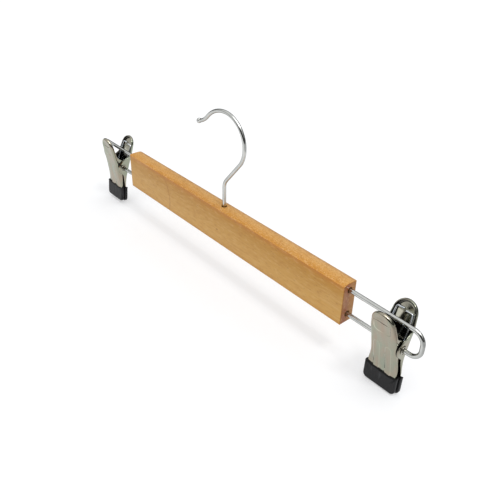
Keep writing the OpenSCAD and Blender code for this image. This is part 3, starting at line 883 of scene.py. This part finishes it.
@dataclass
class Rail:
    """The bent wire that stands out from one end of the bar."""

    finishes: Finishes
    side: Side
    wire_d: float = 3.0
    gap: float = 18.6
    low_z: float = -96.2
    reach: float = 57.8
    corner_r: float = 7.4
    depth: float = 20.0
    bar_half: float = 126.0

    def build(self) -> None:
        """Builds the rail: in along the upper run, round two corners and back along the lower run."""
        bend_x = self.bar_half + self.reach - self.wire_d / 2 - self.corner_r
        end_x, high_z = self.bar_half - self.depth, self.low_z + self.gap
        parts = [
            np.linspace((end_x, high_z), (bend_x, high_z), 24),
            arc((bend_x, high_z - self.corner_r), self.corner_r, 90, 0),
            arc((bend_x, self.low_z + self.corner_r), self.corner_r, 0, -90),
            np.linspace((bend_x, self.low_z), (end_x, self.low_z), 24),
        ]
        path = np.insert(without_doubles(np.concatenate(parts)), 1, 0.0, axis=1)
        shape = wire(path * (self.side.value, 1, 1), self.wire_d / 2, (0, 1, 0), sides=36)
        word = self.side.word
        add_piece(f"rail_wire_{word}", shape, "bar", self.finishes.chrome, "chrome_wire", f"rail_{word}")


# --- Clips ---


@dataclass
class PlateForm:
    """The drawn plate in front of the pivot: a sheet with a rolled rim, an outer and an inner ear."""

    sheet_t: float = 0.8
    tab_r: float = 8.5
    tab_h: float = 18.1
    tab_lean: float = 16.2
    jaw_lean: float = 12.6
    knee_h: float = 3.0
    rim_depth: float = 2.8
    rim_r: float = 1.9
    ear_half_w: float = 10.2
    ear_gap: float = 0.4
    ear_r: float = 5.6
    ear_top_h: float = 11.4
    ear_low_h: float = 8.0
    blade_half_w: float = 11.1
    blade_top_h: float = 19.0
    blade_corner_r: float = 2.6
    blade_low_h: float = 32.0
    pad_r: float = 6.2
    pad_low_h: float = 11.0
    pad_corner_r: float = 3.0
    rib_x: float = 4.4
    rib_half_w: float = 2.2
    rib_top_h: float = 0.9
    tip_coat: float = 1.0
    tip_gap: float = 0.3
    seam_gap: float = 0.3
    # How soft the dressed plate is: blending of its outline, and the pressed details with their slopes
    outline_blend: float = 2.5
    edge_soft: float = 0.16
    pad_sink: float = 0.3
    pad_bowl: float = 0.35
    pad_soft: float = 1.0
    rib_rise: float = 0.3
    rib_soft: float = 0.55

    @property
    def shift(self) -> float:
        """How far a plate sits to the side of its outer ear, so that its other ear passes inside."""
        return (self.sheet_t + self.ear_gap) / 2

    @property
    def half_w(self) -> float:
        """Half width of the plate across its ears."""
        return self.ear_half_w - self.shift

    @property
    def blade_in(self) -> float:
        """Distance of the blade's inner face from the clip's middle plane."""
        return self.tip_gap / 2 + self.tip_coat

    def drop(self, h: Array) -> Array:
        """How far down the flare a height is, 0 at the ears' foot and 1 at the blade's top."""
        return (-h - self.ear_low_h) / (self.blade_top_h - self.ear_low_h)

    def face_out(self, h: Array | float) -> Array:
        """Distance of the outer face from the middle plane: level below the jaw, then two slopes.

        Args:
            h: heights above the pivot.

        Returns:
            The distances, with a soft ramp at the jaw's foot and at the knee between the slopes.
        """
        h = np.asarray(h, float)
        jaw, tab = math.tan(math.radians(self.jaw_lean)), math.tan(math.radians(self.tab_lean))
        slopes = soft_ramp(h + self.blade_top_h, 0.8) * jaw + soft_ramp(h - self.knee_h, 1.5) * (tab - jaw)
        return self.blade_in + self.sheet_t + slopes

    def ear_end_r(self, outer: bool) -> float:
        """Radius of an ear's round end, where the inner ear has to clear the other plate's bend.

        Args:
            outer: whether it is the outer ear.

        Returns:
            The radius.
        """
        if outer:
            return self.ear_r
        lean = math.radians(self.jaw_lean)
        bend_in = self.rim_r - self.sheet_t
        level = self.blade_in + self.sheet_t + self.blade_top_h * math.tan(lean)
        reach = level - self.rim_r + math.sqrt(bend_in**2 - (bend_in - self.ear_gap) ** 2)
        return min(self.ear_r, reach * math.cos(lean) - self.ear_gap)

    @property
    def side_angle(self) -> float:
        """Angle, in radians, at which the straight side meets the tab's circle."""
        dx, dh = self.half_w, self.ear_top_h - self.tab_h
        return math.atan2(dh, dx) + math.acos(self.tab_r / math.hypot(dx, dh))

    def side_w(self, h: Array) -> Array:
        """Half width of the plate: corner, blade, flare, ear and slanted side in turn.

        Args:
            h: heights above the pivot.

        Returns:
            The half widths.
        """
        a = self.side_angle
        top_x, top_h = self.tab_r * math.cos(a), self.tab_h + self.tab_r * math.sin(a)
        ear, blade, c = self.half_w, self.blade_half_w, self.blade_corner_r
        slant = ear + (top_x - ear) * (h - self.ear_top_h) / (top_h - self.ear_top_h)
        flare = ear + (blade - ear) * smooth_step(self.drop(h))
        lift = c - (h + self.blade_low_h)
        corner = blade - c + np.sqrt(np.maximum(0, c * c - np.maximum(lift, 0) ** 2))
        return np.select([lift > 0, h >= self.ear_top_h, h >= -self.ear_low_h], [corner, slant, ear], flare)

    def rim_edge(self, h: Array, outer: bool) -> Array:
        """Free edge of the rim, measured from the middle plane; an ear's round end reaches past it.

        Args:
            h: heights above the pivot.
            outer: whether it is the side of the outer ear.

        Returns:
            The edge's distances, those past the middle plane below 0.
        """
        r = self.ear_end_r(outer)
        # The round end leaves the middle plane at 66 degrees, and the jaw's rim stays inside the blade
        (arc_edge, arc_h), clear = polar((0, 0), r, 66) * (-1, 1), 0.12
        seam = self.seam_gap / 2
        top = self.face_out(h) - self.rim_depth
        top_edge = float(self.face_out(self.ear_top_h)) - self.rim_depth
        waist = arc_edge + (top_edge - arc_edge) * smooth_step((h - arc_h) / (self.ear_top_h - arc_h))
        ear = -np.sqrt(np.maximum(0, r * r - h * h))
        low = arc_edge + (seam - arc_edge) * smooth_step((-h - arc_h) / (self.ear_low_h - arc_h))
        jaw = seam + (self.blade_in - clear - seam) * self.drop(h)
        jaw = np.minimum(jaw, self.face_out(h) - self.sheet_t - clear)
        bands = [h >= self.ear_top_h, h >= arc_h, h > -arc_h, h >= -self.ear_low_h]
        return np.select(bands, [top, waist, ear, low], jaw)

    def panel_in(self, x: Array, h: Array) -> Array:
        """Distance inside the finger panel, negative outside it.

        The panel is the tab's inner circle, drawn down to a lower edge with round corners.

        Args:
            x: places across the plate.
            h: heights above the pivot.

        Returns:
            The distances.
        """
        corner = self.pad_low_h - self.tab_h + self.pad_corner_r
        below = np.minimum(h - self.tab_h, 0)
        corner_x = np.maximum(np.abs(x) - self.pad_r + self.pad_corner_r, 0)
        return np.where(
            below < corner,
            self.pad_corner_r - np.hypot(corner_x, corner - below),
            self.pad_r - np.hypot(x, np.maximum(h - self.tab_h, 0)),
        )

    def rib_in(self, x: Array, h: Array) -> Array:
        """Distance inside a rib, a strip with a round top, negative outside it."""
        top = self.rib_top_h - self.rib_half_w
        return self.rib_half_w - np.hypot(np.abs(x) - self.rib_x, np.maximum(h - top, 0))

    def pressed(self, x: Array, h: Array) -> Array:
        """Height of the pressed detail above the face: a sunk finger panel on the tab and two broad ribs.

        The panel sinks by smooth_step(distance inside its outline / softness), with a shallow bowl
        (1 - (r / radius)^2) in it. A rib rises by the same step of the distance inside it.

        Args:
            x: places across the plate.
            h: heights above the pivot.

        Returns:
            The heights.
        """
        bowl = 1 - (x**2 + (h - self.tab_h + 1.5) ** 2) / (self.pad_r + 1.2) ** 2
        sink = self.pad_sink + self.pad_bowl * np.maximum(0, bowl)
        pad = sink * smooth_step(self.panel_in(x, h) / self.pad_soft + 0.5)
        return self.rib_rise * smooth_step(self.rib_in(x, h) / self.rib_soft + 0.5) - pad

    def painted_light_and_cast(self, x: Array, h: Array) -> tuple[Array, Array, Array]:
        """Where painted highlights and painted shade lie round the pressing, and where a pink cast lies.

        An outline is the bell 4 s (1 - s) of the step s across it. Round the finger panel it is painted shade
        at the top and the right and a painted highlight below, with painted shade inside its upper left; round
        a rib it is a painted highlight all along.

        Args:
            x: places across the plate.
            h: heights above the pivot.

        Returns:
            Painted shade at -1 to a painted highlight at 1, the pink cast's share, and how far into the finger
            panel it is, 0 to 1.
        """
        panel_in, rib_in = self.panel_in(x, h), self.rib_in(x, h)
        in_panel, in_rib = smooth_step(panel_in / 1.1 + 0.5), smooth_step(rib_in / 0.8 + 0.5)
        middle = (self.tab_h + self.pad_low_h) / 2
        # Painted shade along the top and right of the finger panel's outline, a painted highlight below it,
        # painted shade inside its upper left and a painted highlight along each rib's outline
        turn = -(0.65 * x / self.pad_r + 0.75 * (h - middle) / (self.tab_h + self.pad_r - middle))
        outline = 4 * in_panel * (1 - in_panel) * np.clip(1.6 * turn, -1, 1)
        shade = -0.45 * smooth_step(panel_in / 2.5) * smooth_step((h - self.tab_h + 1.0 - 0.5 * x) / 6.0)
        ribs = 0.6 * 4 * in_rib * (1 - in_rib)
        # The cast is rosy between the panel and the ribs, and down the outer half of the right rib: partly the
        # nickel's own cast, partly a painted reflection of the beech bar
        between = smooth_step((h - self.rib_top_h) / 1.5) * smooth_step((self.pad_low_h - h) / 1.5)
        down_rib = smooth_step(rib_in / 0.8) * smooth_step((np.abs(x) - self.rib_x + 0.8) / 1.2) * (x > 0)
        return outline + shade + ribs, np.maximum(between, down_rib), in_panel

    def stations(self, outer: bool) -> Array:
        """Stations up one side and over the tab, from the foot to the apex.

        Args:
            outer: whether it is the side of the outer ear.

        Returns:
            Six rows: x, h, the inward direction's x and h, the reach inwards and the rim's edge.
        """
        a0 = self.side_angle
        top_h = self.tab_h + self.tab_r * math.sin(a0)
        corner = self.blade_corner_r * np.array([0.02, 0.1, 0.25, 0.45, 0.7, 1.0]) - self.blade_low_h
        h = np.concatenate([corner, np.arange(corner[-1] + 0.6, top_h - 0.2, 0.42)])
        # The outline and the rim's edge are averaged over a short height, which softens their corners
        soft = np.array([-1.0, -0.6, -0.2, 0.2, 0.6, 1.0])
        above_corner = h > -self.blade_low_h + 6
        wide = np.mean([self.side_w(h + self.outline_blend * s * above_corner) for s in soft], axis=0)
        edge = np.mean([self.rim_edge(h + 0.7 * s, outer) for s in soft], axis=0)
        side = np.stack([wide, h, np.full_like(h, -1.0), np.zeros_like(h), wide, edge])
        a = np.linspace(a0, math.pi / 2, 44)
        x, up = self.tab_r * np.cos(a), self.tab_h + self.tab_r * np.sin(a)
        reach = np.full_like(a, self.tab_r)
        tab = np.stack([x, up, -np.cos(a), -np.sin(a), reach, self.face_out(up) - self.rim_depth])
        return np.concatenate([side, tab], axis=1)

    def half(self, outer: bool) -> Shape:
        """One half of the plate, from the spine to its rim and back along the inside.

        A section at a station leaves the spine along the outer face, turns the rolled rim, steps over
        the sheet's edge and returns along the inner face. Its points are given by how far they lie in
        from the side, u, and how deep behind the outer face, d.

        Args:
            outer: whether this is the side with the outer ear.

        Returns:
            The half for x at or above 0.
        """
        side_x, side_h, in_x, in_h, reach, edge = self.stations(outer)[:, :, None]
        t, e = self.sheet_t, self.edge_soft
        depth = self.face_out(side_h) - edge
        r = np.minimum(self.rim_r, depth - 0.33 * t)
        ri = np.minimum(np.maximum(r - t, 0.12), 0.8 * (depth - t))
        flat, wall = np.linspace(0, 1, 26), np.linspace(0, 1, 4)[1:]
        bend, back = np.radians(np.linspace(0, 90, 11)), np.radians(np.linspace(90, 0, 9))
        lip_u, lip_d = e * np.array([0.3, 1.0]), e * np.array([0.3, 0.0])
        # Each run's u, its d and whether it is on the inside
        runs = [
            (reach + (r - reach) * flat, 0.0, 0.0),
            (r - r * np.sin(bend), r - r * np.cos(bend), 0.0),
            (0.0, r + (depth - e - r) * wall, 0.0),
            (lip_u, depth - lip_d, 0.0),
            (t - lip_u[::-1], depth - lip_d[::-1], 1.0),
            (t + ri - ri * np.sin(back), t + ri - ri * np.cos(back), 1.0),
            (t + ri + (reach - t - ri) * flat, t, 1.0),
        ]
        filled = [np.broadcast_arrays(*run, r)[:3] for run in runs]
        u, d, inside = (np.concatenate(parts, axis=1) for parts in zip(*filled))
        x, h = side_x + in_x * u, side_h + in_h * u
        away = smooth_step(u - r)
        y = -(self.face_out(h) - d + self.pressed(x, h) * away)
        rows, cols = u.shape
        # The foot closes the sheet's lower edge between the outer and the inner face
        k = np.arange(cols // 2 - 1)
        foot = np.stack([k, cols - 1 - k, cols - 2 - k, k + 1], axis=1)
        quads = np.concatenate([grid_quads(rows, cols), foot])
        burnish, rosy, in_panel = self.painted_light_and_cast(-x if outer else x, h)
        face = (1 - inside) * away
        panel_back_painted_light = inside * away * in_panel
        # The inner face is painted darker as painted shade, except on the back of the finger panel, which gets
        # a painted highlight; the outer face carries the painted light round the pressings and the rosy cast
        fields = {
            "inside": inside * (1 - 0.95 * panel_back_painted_light),
            "burnish": burnish * face + 0.75 * panel_back_painted_light,
            "rosy": rosy * face,
        }
        points = np.stack([x, y, h], axis=2).reshape(-1, 3)
        return Shape(points, quads, {key: values.ravel() for key, values in fields.items()})

    def whole(self) -> Shape:
        """The whole plate in front of the pivot: inner ear to the right, outer ear to the left."""
        return self.half(False).joined(self.half(True).mirrored())


@dataclass
class TipForm:
    """The soft tip: a dip over the blade with rounded edges and a sagging upper edge."""

    low_h: float
    height: float
    half_w: float = 12.4
    corner_r: float = 3.2
    top_corner_r: float = 0.9
    out: float = 2.95
    back: float = 0.15
    edge_r: float = 0.95
    sag: float = 1.5
    sag_tilt: float = 0.3
    ripple: float = 0.08

    def top(self, s: Array) -> Array:
        """Height of the upper edge at s, from -1 to 1: it sags between the corners, with a slow ripple."""
        wave = 1 + self.sag_tilt * s + self.ripple * np.cos(np.radians(720 * s))
        return -self.low_h + self.height - self.sag * (1 - np.abs(s) ** 6) * wave

    def outline(self) -> Array:
        """The closed outline in x and h, anticlockwise from the lower left corner.

        Returns:
            The points, eased twice by (before + 2 own + after) / 4.
        """
        w, r, q = self.half_w, self.corner_r, self.top_corner_r
        low, high = -self.low_h, self.height - self.low_h
        s = np.linspace(0.955, -0.955, 90)
        parts = [
            arc((-w + r, low + r), r, 180, 270, 6),
            np.linspace((-w + r, low), (w - r, low), 30),
            arc((w - r, low + r), r, 270, 360, 6),
            np.linspace((w, low + r), (w, high - q), 12),
            arc((w - q, high - q), q, 0, 60, 12),
            np.stack([w * s, self.top(s)], axis=1),
            arc((-w + q, high - q), q, 120, 180, 12),
            np.linspace((-w, high - q), (-w, low + r), 12),
        ]
        near = 0.02
        line = without_doubles(np.concatenate(parts), near)
        if np.linalg.norm(line[0] - line[-1]) < near:
            line = line[:-1]
        for _ in range(2):
            line = (np.roll(line, 1, axis=0) + 2 * line + np.roll(line, -1, axis=0)) / 4
        return line

    def whole(self) -> Shape:
        """The tip in front of the middle plane.

        Each outline point is carried inwards along its normal as the section goes from the middle of
        the front face, out to the rounded front edge, back along the side and in again at the back.

        Returns:
            The closed shape.
        """
        line = self.outline()
        along = np.roll(line, -1, axis=0) - np.roll(line, 1, axis=0)
        along /= np.linalg.norm(along, axis=1, keepdims=True)
        inward = np.stack([-along[:, 1], along[:, 0]], axis=1)
        middle = np.clip(line[:, 0], -self.half_w + 5.0, self.half_w - 5.0)
        spine = np.stack([middle, np.full(len(line), -self.low_h + 6.2)], axis=1)

        def ring(u: float, out: float, share: float = 0.0) -> Array:
            """The outline carried in by u and on by a share of the way to the spine, at one distance out."""
            place = line + inward * u
            return np.insert(place + (spine - place) * share, 1, -out, axis=1)

        e, b = self.edge_r, 0.7 * self.edge_r
        roll, turn = np.radians(np.linspace(0, 90, 9)), np.radians(np.linspace(0, 90, 7))
        rings = [ring(e, self.out, share) for share in (1.0, 0.75, 0.5, 0.3, 0.15, 0.05)]
        rings += [ring(u, out) for u, out in zip(e - e * np.sin(roll), self.out - e + e * np.cos(roll))]
        rings += [ring(u, out) for u, out in zip(b - b * np.cos(turn), self.back + b - b * np.sin(turn))]
        rings += [ring(b, self.back, share) for share in (0.5, 1.0)]
        # The upper edge's roll is painted near black: painted shade along the rolled top edge
        bead = np.zeros((len(rings), len(line)))
        bead[7:16] = smooth_step((-inward[:, 1] - 0.4) / 0.4)
        quads = grid_quads(len(rings), len(line), wrap_cols=True)
        return Shape(np.concatenate(rings), quads, {"bead": bead.ravel()})


@dataclass
class SpringForm:
    """The double torsion spring: an end, a leg and a coil each side, joined by a bail at the front."""

    plate: PlateForm
    wire_d: float = 1.3
    coil_r: float = 3.35
    turns: int = 2
    turn_gap: float = 0.45
    bail_h: float = 19.6
    bail_half_w: float = 6.0
    front_half_w: float = 4.6
    end_gap: float = 1.5
    step: float = 1.1
    bail_gap: float = 0.3
    bend_r: float = 1.5
    side_gap: float = 0.3
    sleeve: float = 40.0

    def __post_init__(self) -> None:
        """Works out where the legs meet the coil and how far the coil turns."""
        lean = math.radians(self.plate.tab_lean)
        out = float(self.plate.face_out(self.bail_h))
        self.bail_y = out - self.plate.sheet_t - (self.bail_gap + self.wire_d / 2) / math.cos(lean)
        away = math.hypot(self.bail_y, self.bail_h)
        self.leg_angle = math.degrees(math.atan2(self.bail_h, self.bail_y) - math.acos(self.coil_r / away))
        self.coil_angle = 180 + 2 * self.leg_angle + 360 * self.turns
        inner_ear = self.plate.ear_half_w - 2 * self.plate.shift
        self.coil_out = inner_ear - self.plate.sheet_t - self.side_gap - self.wire_d / 2
        self.coil_in = self.coil_out - (self.wire_d + self.turn_gap) * self.coil_angle / 360

    def coil(self, start: float, end: float) -> Array:
        """Points of the left coil between two of its own angles.

        At angle c the point is (-x, r cos a, r sin a), with a = leg angle - c and x falling evenly
        from the coil's outer to its inner end.

        Args:
            start: first angle, in degrees from the rear leg.
            end: last angle.

        Returns:
            The points, at most 7.5 degrees apart.
        """
        c = np.linspace(start, end, max(2, int(abs(end - start) / 7.5) + 2))
        x = self.coil_out + (self.coil_in - self.coil_out) * c / self.coil_angle
        return np.column_stack([-x, polar((0, 0), self.coil_r, self.leg_angle - c)])

    def bent_leg(self, start: Array, corner: Array, foot: Array) -> Array:
        """A crossbar from a point to a corner, round a bend and down a leg to its foot.

        Args:
            start: where the crossbar begins.
            corner: where its line meets the leg's line.
            foot: the end of the leg.

        Returns:
            The points.
        """
        along = (start - corner) / np.linalg.norm(start - corner)
        down = (foot - corner) / np.linalg.norm(foot - corner)
        turn = math.acos(float(along @ down))
        reach = self.bend_r * math.tan((math.pi - turn) / 2)
        middle = corner + (along + down) / np.linalg.norm(along + down) * self.bend_r / math.sin(turn / 2)
        chord = np.linspace(corner + along * reach, corner + down * reach, 12) - middle
        bend = middle + self.bend_r * chord / np.linalg.norm(chord, axis=1, keepdims=True)
        bar, leg = np.linspace(start, bend[0], 6), np.linspace(bend[-1], foot, 12)
        return without_doubles(np.concatenate([bar, bend, leg]))

    def rear_leg(self, up: float) -> Array:
        """The left half's end, crossbar and leg on the rear tab, running on inside the coil."""
        ends = (self.end_gap / 2, self.bail_half_w)
        start, corner = (np.array([-x, self.bail_y, self.bail_h + up]) for x in ends)
        run_on = self.coil(0, self.sleeve)
        return np.concatenate([self.bent_leg(start, corner, run_on[0]), run_on[1:]])

    def front_bail(self) -> Array:
        """The bail across the front tab with both its legs, running on inside the two coils."""
        start, corner = (np.array([-x, -self.bail_y, self.bail_h]) for x in (0.0, self.front_half_w))
        run_on = self.coil(self.coil_angle, self.coil_angle - self.sleeve)
        half = np.concatenate([self.bent_leg(start, corner, run_on[0]), run_on[1:]])
        return np.concatenate([half[::-1], (half * MIRROR)[1:]])

    def leg_wire(self, path: Array, rear: bool) -> Shape:
        """The wire of a leg, a little thinner where it runs on inside the coil's own wire.

        Args:
            path: its centre line.
            rear: whether it is on the rear tab.

        Returns:
            The closed shape.
        """
        angle = np.degrees(np.arctan2(path[:, 2], path[:, 1] if rear else -path[:, 1]))
        in_coil = np.hypot(path[:, 1], path[:, 2]) < self.coil_r + 0.05
        share = np.where(in_coil & (angle < self.leg_angle - 1.0), 0.47, 0.5)
        return wire(path, share * self.wire_d, (0, 0.3, 1), sides=20)

    def coils(self) -> Shape:
        """Both coils."""
        path = self.coil(0, self.coil_angle)
        left, right = (wire(path * way, self.wire_d / 2, (1, 0, 0), sides=20) for way in (1, MIRROR))
        return left.joined(right)


class Jaw(Enum):
    """Which plate of a clip; the value tells whether it is turned half round."""

    FRONT = False
    REAR = True


@dataclass
class Clip:
    """One sprung clip on its rail: two plates, two soft tips, a double spring and a pivot tube."""

    finishes: Finishes
    rail: Rail
    station: float
    lean: float
    tip: TipForm
    plate: PlateForm = field(default_factory=PlateForm)

    def add(
        self, name: str, shape: Shape, body: str, material: Material, slot: str, node: str, jaw: Jaw = Jaw.FRONT
    ) -> None:
        """Adds a piece drawn about the pivot, put on its rail.

        Args:
            name: its name without the side.
            shape: its shape in the clip's own frame.
            body: the CAD body that it moves with, without the side.
            material: its finish.
            slot: the record's slot of that finish.
            node: the CAD node that it replaces, without the clip's own name.
            jaw: rear where it is first turned half round about the upright.
        """
        half_round = np.array([-1, -1, 1]) if jaw.value else 1
        c, s = math.cos(math.radians(-self.lean)), math.sin(math.radians(-self.lean))
        turn = np.array([[1, 0, 0], [0, c, -s], [0, s, c]])
        place = np.array([self.rail.side.value * (self.rail.bar_half + self.station), 0, self.rail.low_z])
        shape.points = (shape.points * half_round) @ turn.T + place
        word = self.rail.side.word
        add_piece(f"{word}_{name}", shape, f"{word}_{body}", material, slot, f"clip_{word}_{node}")

    def build_jaw(self, jaw: Jaw) -> None:
        """Builds one plate with its soft tip.

        Args:
            jaw: front or rear.
        """
        word = jaw.name.lower()
        for form, name, material, slot, node in (
            (self.plate, "drawn_plate", self.finishes.sheet, "plated_sheet", "plate"),
            (self.tip, "dipped_tip", self.finishes.vinyl, "soft_vinyl", "tip"),
        ):
            shape = form.whole()
            shape.points = shape.points - np.array([self.plate.shift, 0, 0])
            self.add(f"{word}_{name}", shape, f"{word}_jaw", material, slot, f"{word}_{node}", jaw)

    def build_spring(self) -> None:
        """Builds the spring in parts that follow the jaws: coils, front bail and two rear ends."""
        form = SpringForm(self.plate)
        parts = [
            ("coils", form.coils(), "swing"),
            ("front_bail", form.leg_wire(form.front_bail(), rear=False), "front_jaw"),
        ]
        for sign, word in ((1, "a"), (-1, "b")):
            leg = form.rear_leg(sign * form.step / 2) * np.array([sign, 1, 1])
            parts.append((f"rear_end_{word}", form.leg_wire(leg, rear=True), "rear_jaw"))
        for name, shape, body in parts:
            self.add(f"spring_{name}", shape, body, self.finishes.spring, "spring_wire", "spring")

    def build_tube(self) -> None:
        """Builds the pivot tube with its rolled lips as one turned profile."""
        inner = self.rail.wire_d / 2 + 0.08
        outer = inner + 0.5
        lip, curl_r = outer + 0.9, 0.25
        half = self.plate.ear_half_w + 0.6
        curl = arc((half - curl_r, lip - curl_r), curl_r, 110, -90, 20)
        neck = [[half - 0.5, outer], [half - 0.5, lip - 0.1]]
        right = np.concatenate([neck, curl, [[half, outer - 0.1], [half - 0.35, inner]]])
        shape = turned(np.concatenate([right, right[::-1] * np.array([-1, 1])]))
        self.add("rolled_pivot_tube", shape, "slider", self.finishes.tube, "plated_tube", "pivot_tube")

    def build(self) -> None:
        """Builds the whole clip."""
        for jaw in Jaw:
            self.build_jaw(jaw)
        self.build_spring()
        self.build_tube()


# --- Studio ---


@dataclass
class Studio:
    """The pale floor, the soft light and the camera. Places are in metres, angles in radians."""

    lens: float = 43.51
    yaw: float = 0.84855118
    rise: float = 0.57070473
    roll: float = -0.02777679
    camera_at: Triple = (0.31294, -0.24886, 0.14578)
    floor_half: float = 6.0
    floor_gap: float = 0.0004
    paper: str = "#D6D7D9"
    # How much the paper glows for the camera, near the hanger and far from it
    paper_lift: tuple[float, float] = (0.352, 0.42)
    # Brightness of the surroundings in metal, by the upward part of the direction
    front_wall: Greys = ((-1.0, 0.5), (-0.02, 0.3), (0.02, 0.08), (0.28, 0.12), (0.5, 0.95), (1.0, 1.0))
    back_wall: Greys = ((-1.0, 0.5), (-0.02, 0.3), (0.02, 0.06), (0.42, 0.08), (0.62, 0.9), (1.0, 1.0))
    board_grey: float = 0.6
    # Where the unlit room and the soft box are: a direction, and the cosines where each starts and is full
    unlit_towards: Triple = (0.63, -0.556, 0.54)
    unlit_from: tuple[float, float] = (0.81, 0.94)
    unlit_grey: float = 0.02
    box_towards: Triple = (0.28, 0.0, 0.96)
    box_from: tuple[float, float] = (0.85, 0.94)
    box_gain: float = 2.6
    lamp_at: Triple = (1.4, -0.02, 2.6)
    lamp_towards: Triple = (0.0, 0.0, -0.1)
    lamp_side: float = 0.6
    lamp_watts: float = 21.0

    def build_camera(self) -> None:
        """Puts the camera where the photograph was taken from."""
        sin, cos = math.sin, math.cos
        look = np.array([-sin(self.yaw) * cos(self.rise), cos(self.yaw) * cos(self.rise), -sin(self.rise)])
        right = np.cross(look, [0, 0, 1])
        right /= np.linalg.norm(right)
        up = np.cross(right, look)
        tilted_right = cos(self.roll) * right - sin(self.roll) * up
        tilted_up = sin(self.roll) * right + cos(self.roll) * up
        camera = linked("camera", bpy.data.cameras.new("camera"))
        camera.data.lens = self.lens
        camera.data.sensor_width = 36.0
        camera.data.clip_start = 0.005
        camera.data.clip_end = 50.0
        stand(camera, [tilted_right, tilted_up, -look], self.camera_at)
        bpy.context.scene.camera = camera

    def build_floor(self) -> None:
        """Lays the floor just under the lowest point of the hanger."""
        low, half = float(CAD_BOX[0][2]) - self.floor_gap, self.floor_half
        corners = [(-half, -half, low), (half, -half, low), (half, half, low), (-half, half, low)]
        mesh = bpy.data.meshes.new("studio_floor")
        mesh.from_pydata(corners, [], [(0, 1, 2, 3)])
        material, nodes = new_material("white_paper_floor")
        place = nodes.coordinates("Object")
        glossy = nodes.is_ray("Glossy")
        # Seen straight or in a mirror the paper is lifted to white, and most of its shadow stays on it.
        # Past the hanger's right end its mirror image is greyer: painted shade on the paper that only metal
        # shows
        mirrored = nodes.times(glossy, nodes.ranged(nodes.split(place)[0], 0.17, 0.26, 1.0, 0.25))
        lift = nodes.maths("MAXIMUM", nodes.is_ray("Camera"), mirrored)
        tone = nodes.layered("#E6E6E6", (glossy, "#A8A8A8"), (lift, self.paper))
        # Less of the lift near the hanger leaves its shadow deeper
        lit = nodes.times(lift, nodes.ranged(nodes.vector_maths("LENGTH", place), 0.3, 0.7, *self.paper_lift))
        paper = add_node(nodes.tree, "ShaderNodeBsdfDiffuse", None, {"Color": tone})
        glow = add_node(nodes.tree, "ShaderNodeEmission", None, {"Color": linear("#FFFFFF"), "Strength": lit})
        both = add_node(nodes.tree, "ShaderNodeAddShader", None, {0: paper.outputs[0], 1: glow.outputs[0]})
        add_node(nodes.tree, "ShaderNodeOutputMaterial", None, {"Surface": both.outputs[0]})
        mesh.materials.append(material)
        floor = linked("studio_floor", mesh)

    def build_world(self) -> None:
        """Makes the room: white for the camera, and for metal bright above and dark low down and behind."""
        world = bpy.data.worlds.new("studio")
        bpy.context.scene.world = world
        world.use_nodes = True
        world.node_tree.nodes.clear()
        nodes = Nodes(world.node_tree)
        way = nodes.coordinates("Generated")
        x, y, z = nodes.split(way)
        share = nodes.maths("MULTIPLY_ADD", z, 0.5, 0.5)
        front, back = (
            nodes.ramp(share, [(up / 2 + 0.5, (grey, grey, grey, 1.0)) for up, grey in wall])
            for wall in (self.front_wall, self.back_wall)
        )
        # A white board stands in front, to the left
        board = nodes.times(nodes.ranged(x, -0.3, -0.5, 0.0, self.board_grey), nodes.ranged(y, 0.0, -0.3))
        walls = nodes.maths("MAXIMUM", nodes.layered(front, (nodes.ranged(y, -0.1, 0.3), back)), board)
        # The unlit room round the camera is what bright metal shows as black
        unlit = nodes.ranged(nodes.vector_maths("DOT_PRODUCT", way, self.unlit_towards), *self.unlit_from)
        mirrored = nodes.layered(walls, (unlit, (*(self.unlit_grey,) * 3, 1.0)))
        glossy = nodes.is_ray("Glossy")
        colour = nodes.layered("#EFEFEF", (glossy, mirrored), (nodes.is_ray("Camera"), "#FFFFFF"))
        # A large soft box overhead draws the white lines along wires and rolled rims
        above = nodes.vector_maths("DOT_PRODUCT", way, self.box_towards)
        glare = nodes.times(nodes.ranged(above, *self.box_from, 0.0, self.box_gain), glossy)
        inputs = {"Color": colour, "Strength": nodes.maths("ADD", glare, 1.0)}
        light = add_node(nodes.tree, "ShaderNodeBackground", None, inputs)
        add_node(nodes.tree, "ShaderNodeOutputWorld", None, {"Surface": light.outputs[0]})

    def build_lamp(self) -> None:
        """Hangs one square soft box, turned towards the hanger."""
        lamp = linked("key_soft_box", bpy.data.lights.new("key_soft_box", "AREA"))
        lamp.data.shape = "SQUARE"
        lamp.data.size = self.lamp_side
        lamp.data.energy = self.lamp_watts
        away = np.array(self.lamp_at) - np.array(self.lamp_towards)
        away /= np.linalg.norm(away)
        side = np.cross([0, 0, 1], away)
        side /= np.linalg.norm(side)
        stand(lamp, [side, np.cross(away, side), away], self.lamp_at)

    def build(self) -> None:
        """Builds the studio."""
        self.build_camera()
        self.build_floor()
        self.build_world()
        self.build_lamp()
        bpy.context.scene.view_settings.view_transform = "Standard"


def main() -> None:
    """Builds the hanger in order and reports each piece."""
    logging.basicConfig(level=logging.INFO, format="%(message)s")
    Studio().build()
    finishes = Finishes(
        beech=LacqueredBeech().make(),
        chrome=ChromedWire().make(),
        sheet=PlatedSheet().make(),
        vinyl=DippedVinyl().make(),
        spring=SPRING_STEEL.make(),
        tube=PLATED_TUBE.make(),
    )
    Bar(finishes).build()
    Hook(finishes).build()
    left, right = (Rail(finishes, side) for side in Side)
    left.build()
    right.build()
    Clip(finishes, left, station=34.4, lean=6.0, tip=TipForm(low_h=33.0, height=14.6)).build()
    Clip(finishes, right, station=34.5, lean=1.5, tip=TipForm(low_h=34.8, height=14.2)).build()


if __name__ == "__main__":
    main()
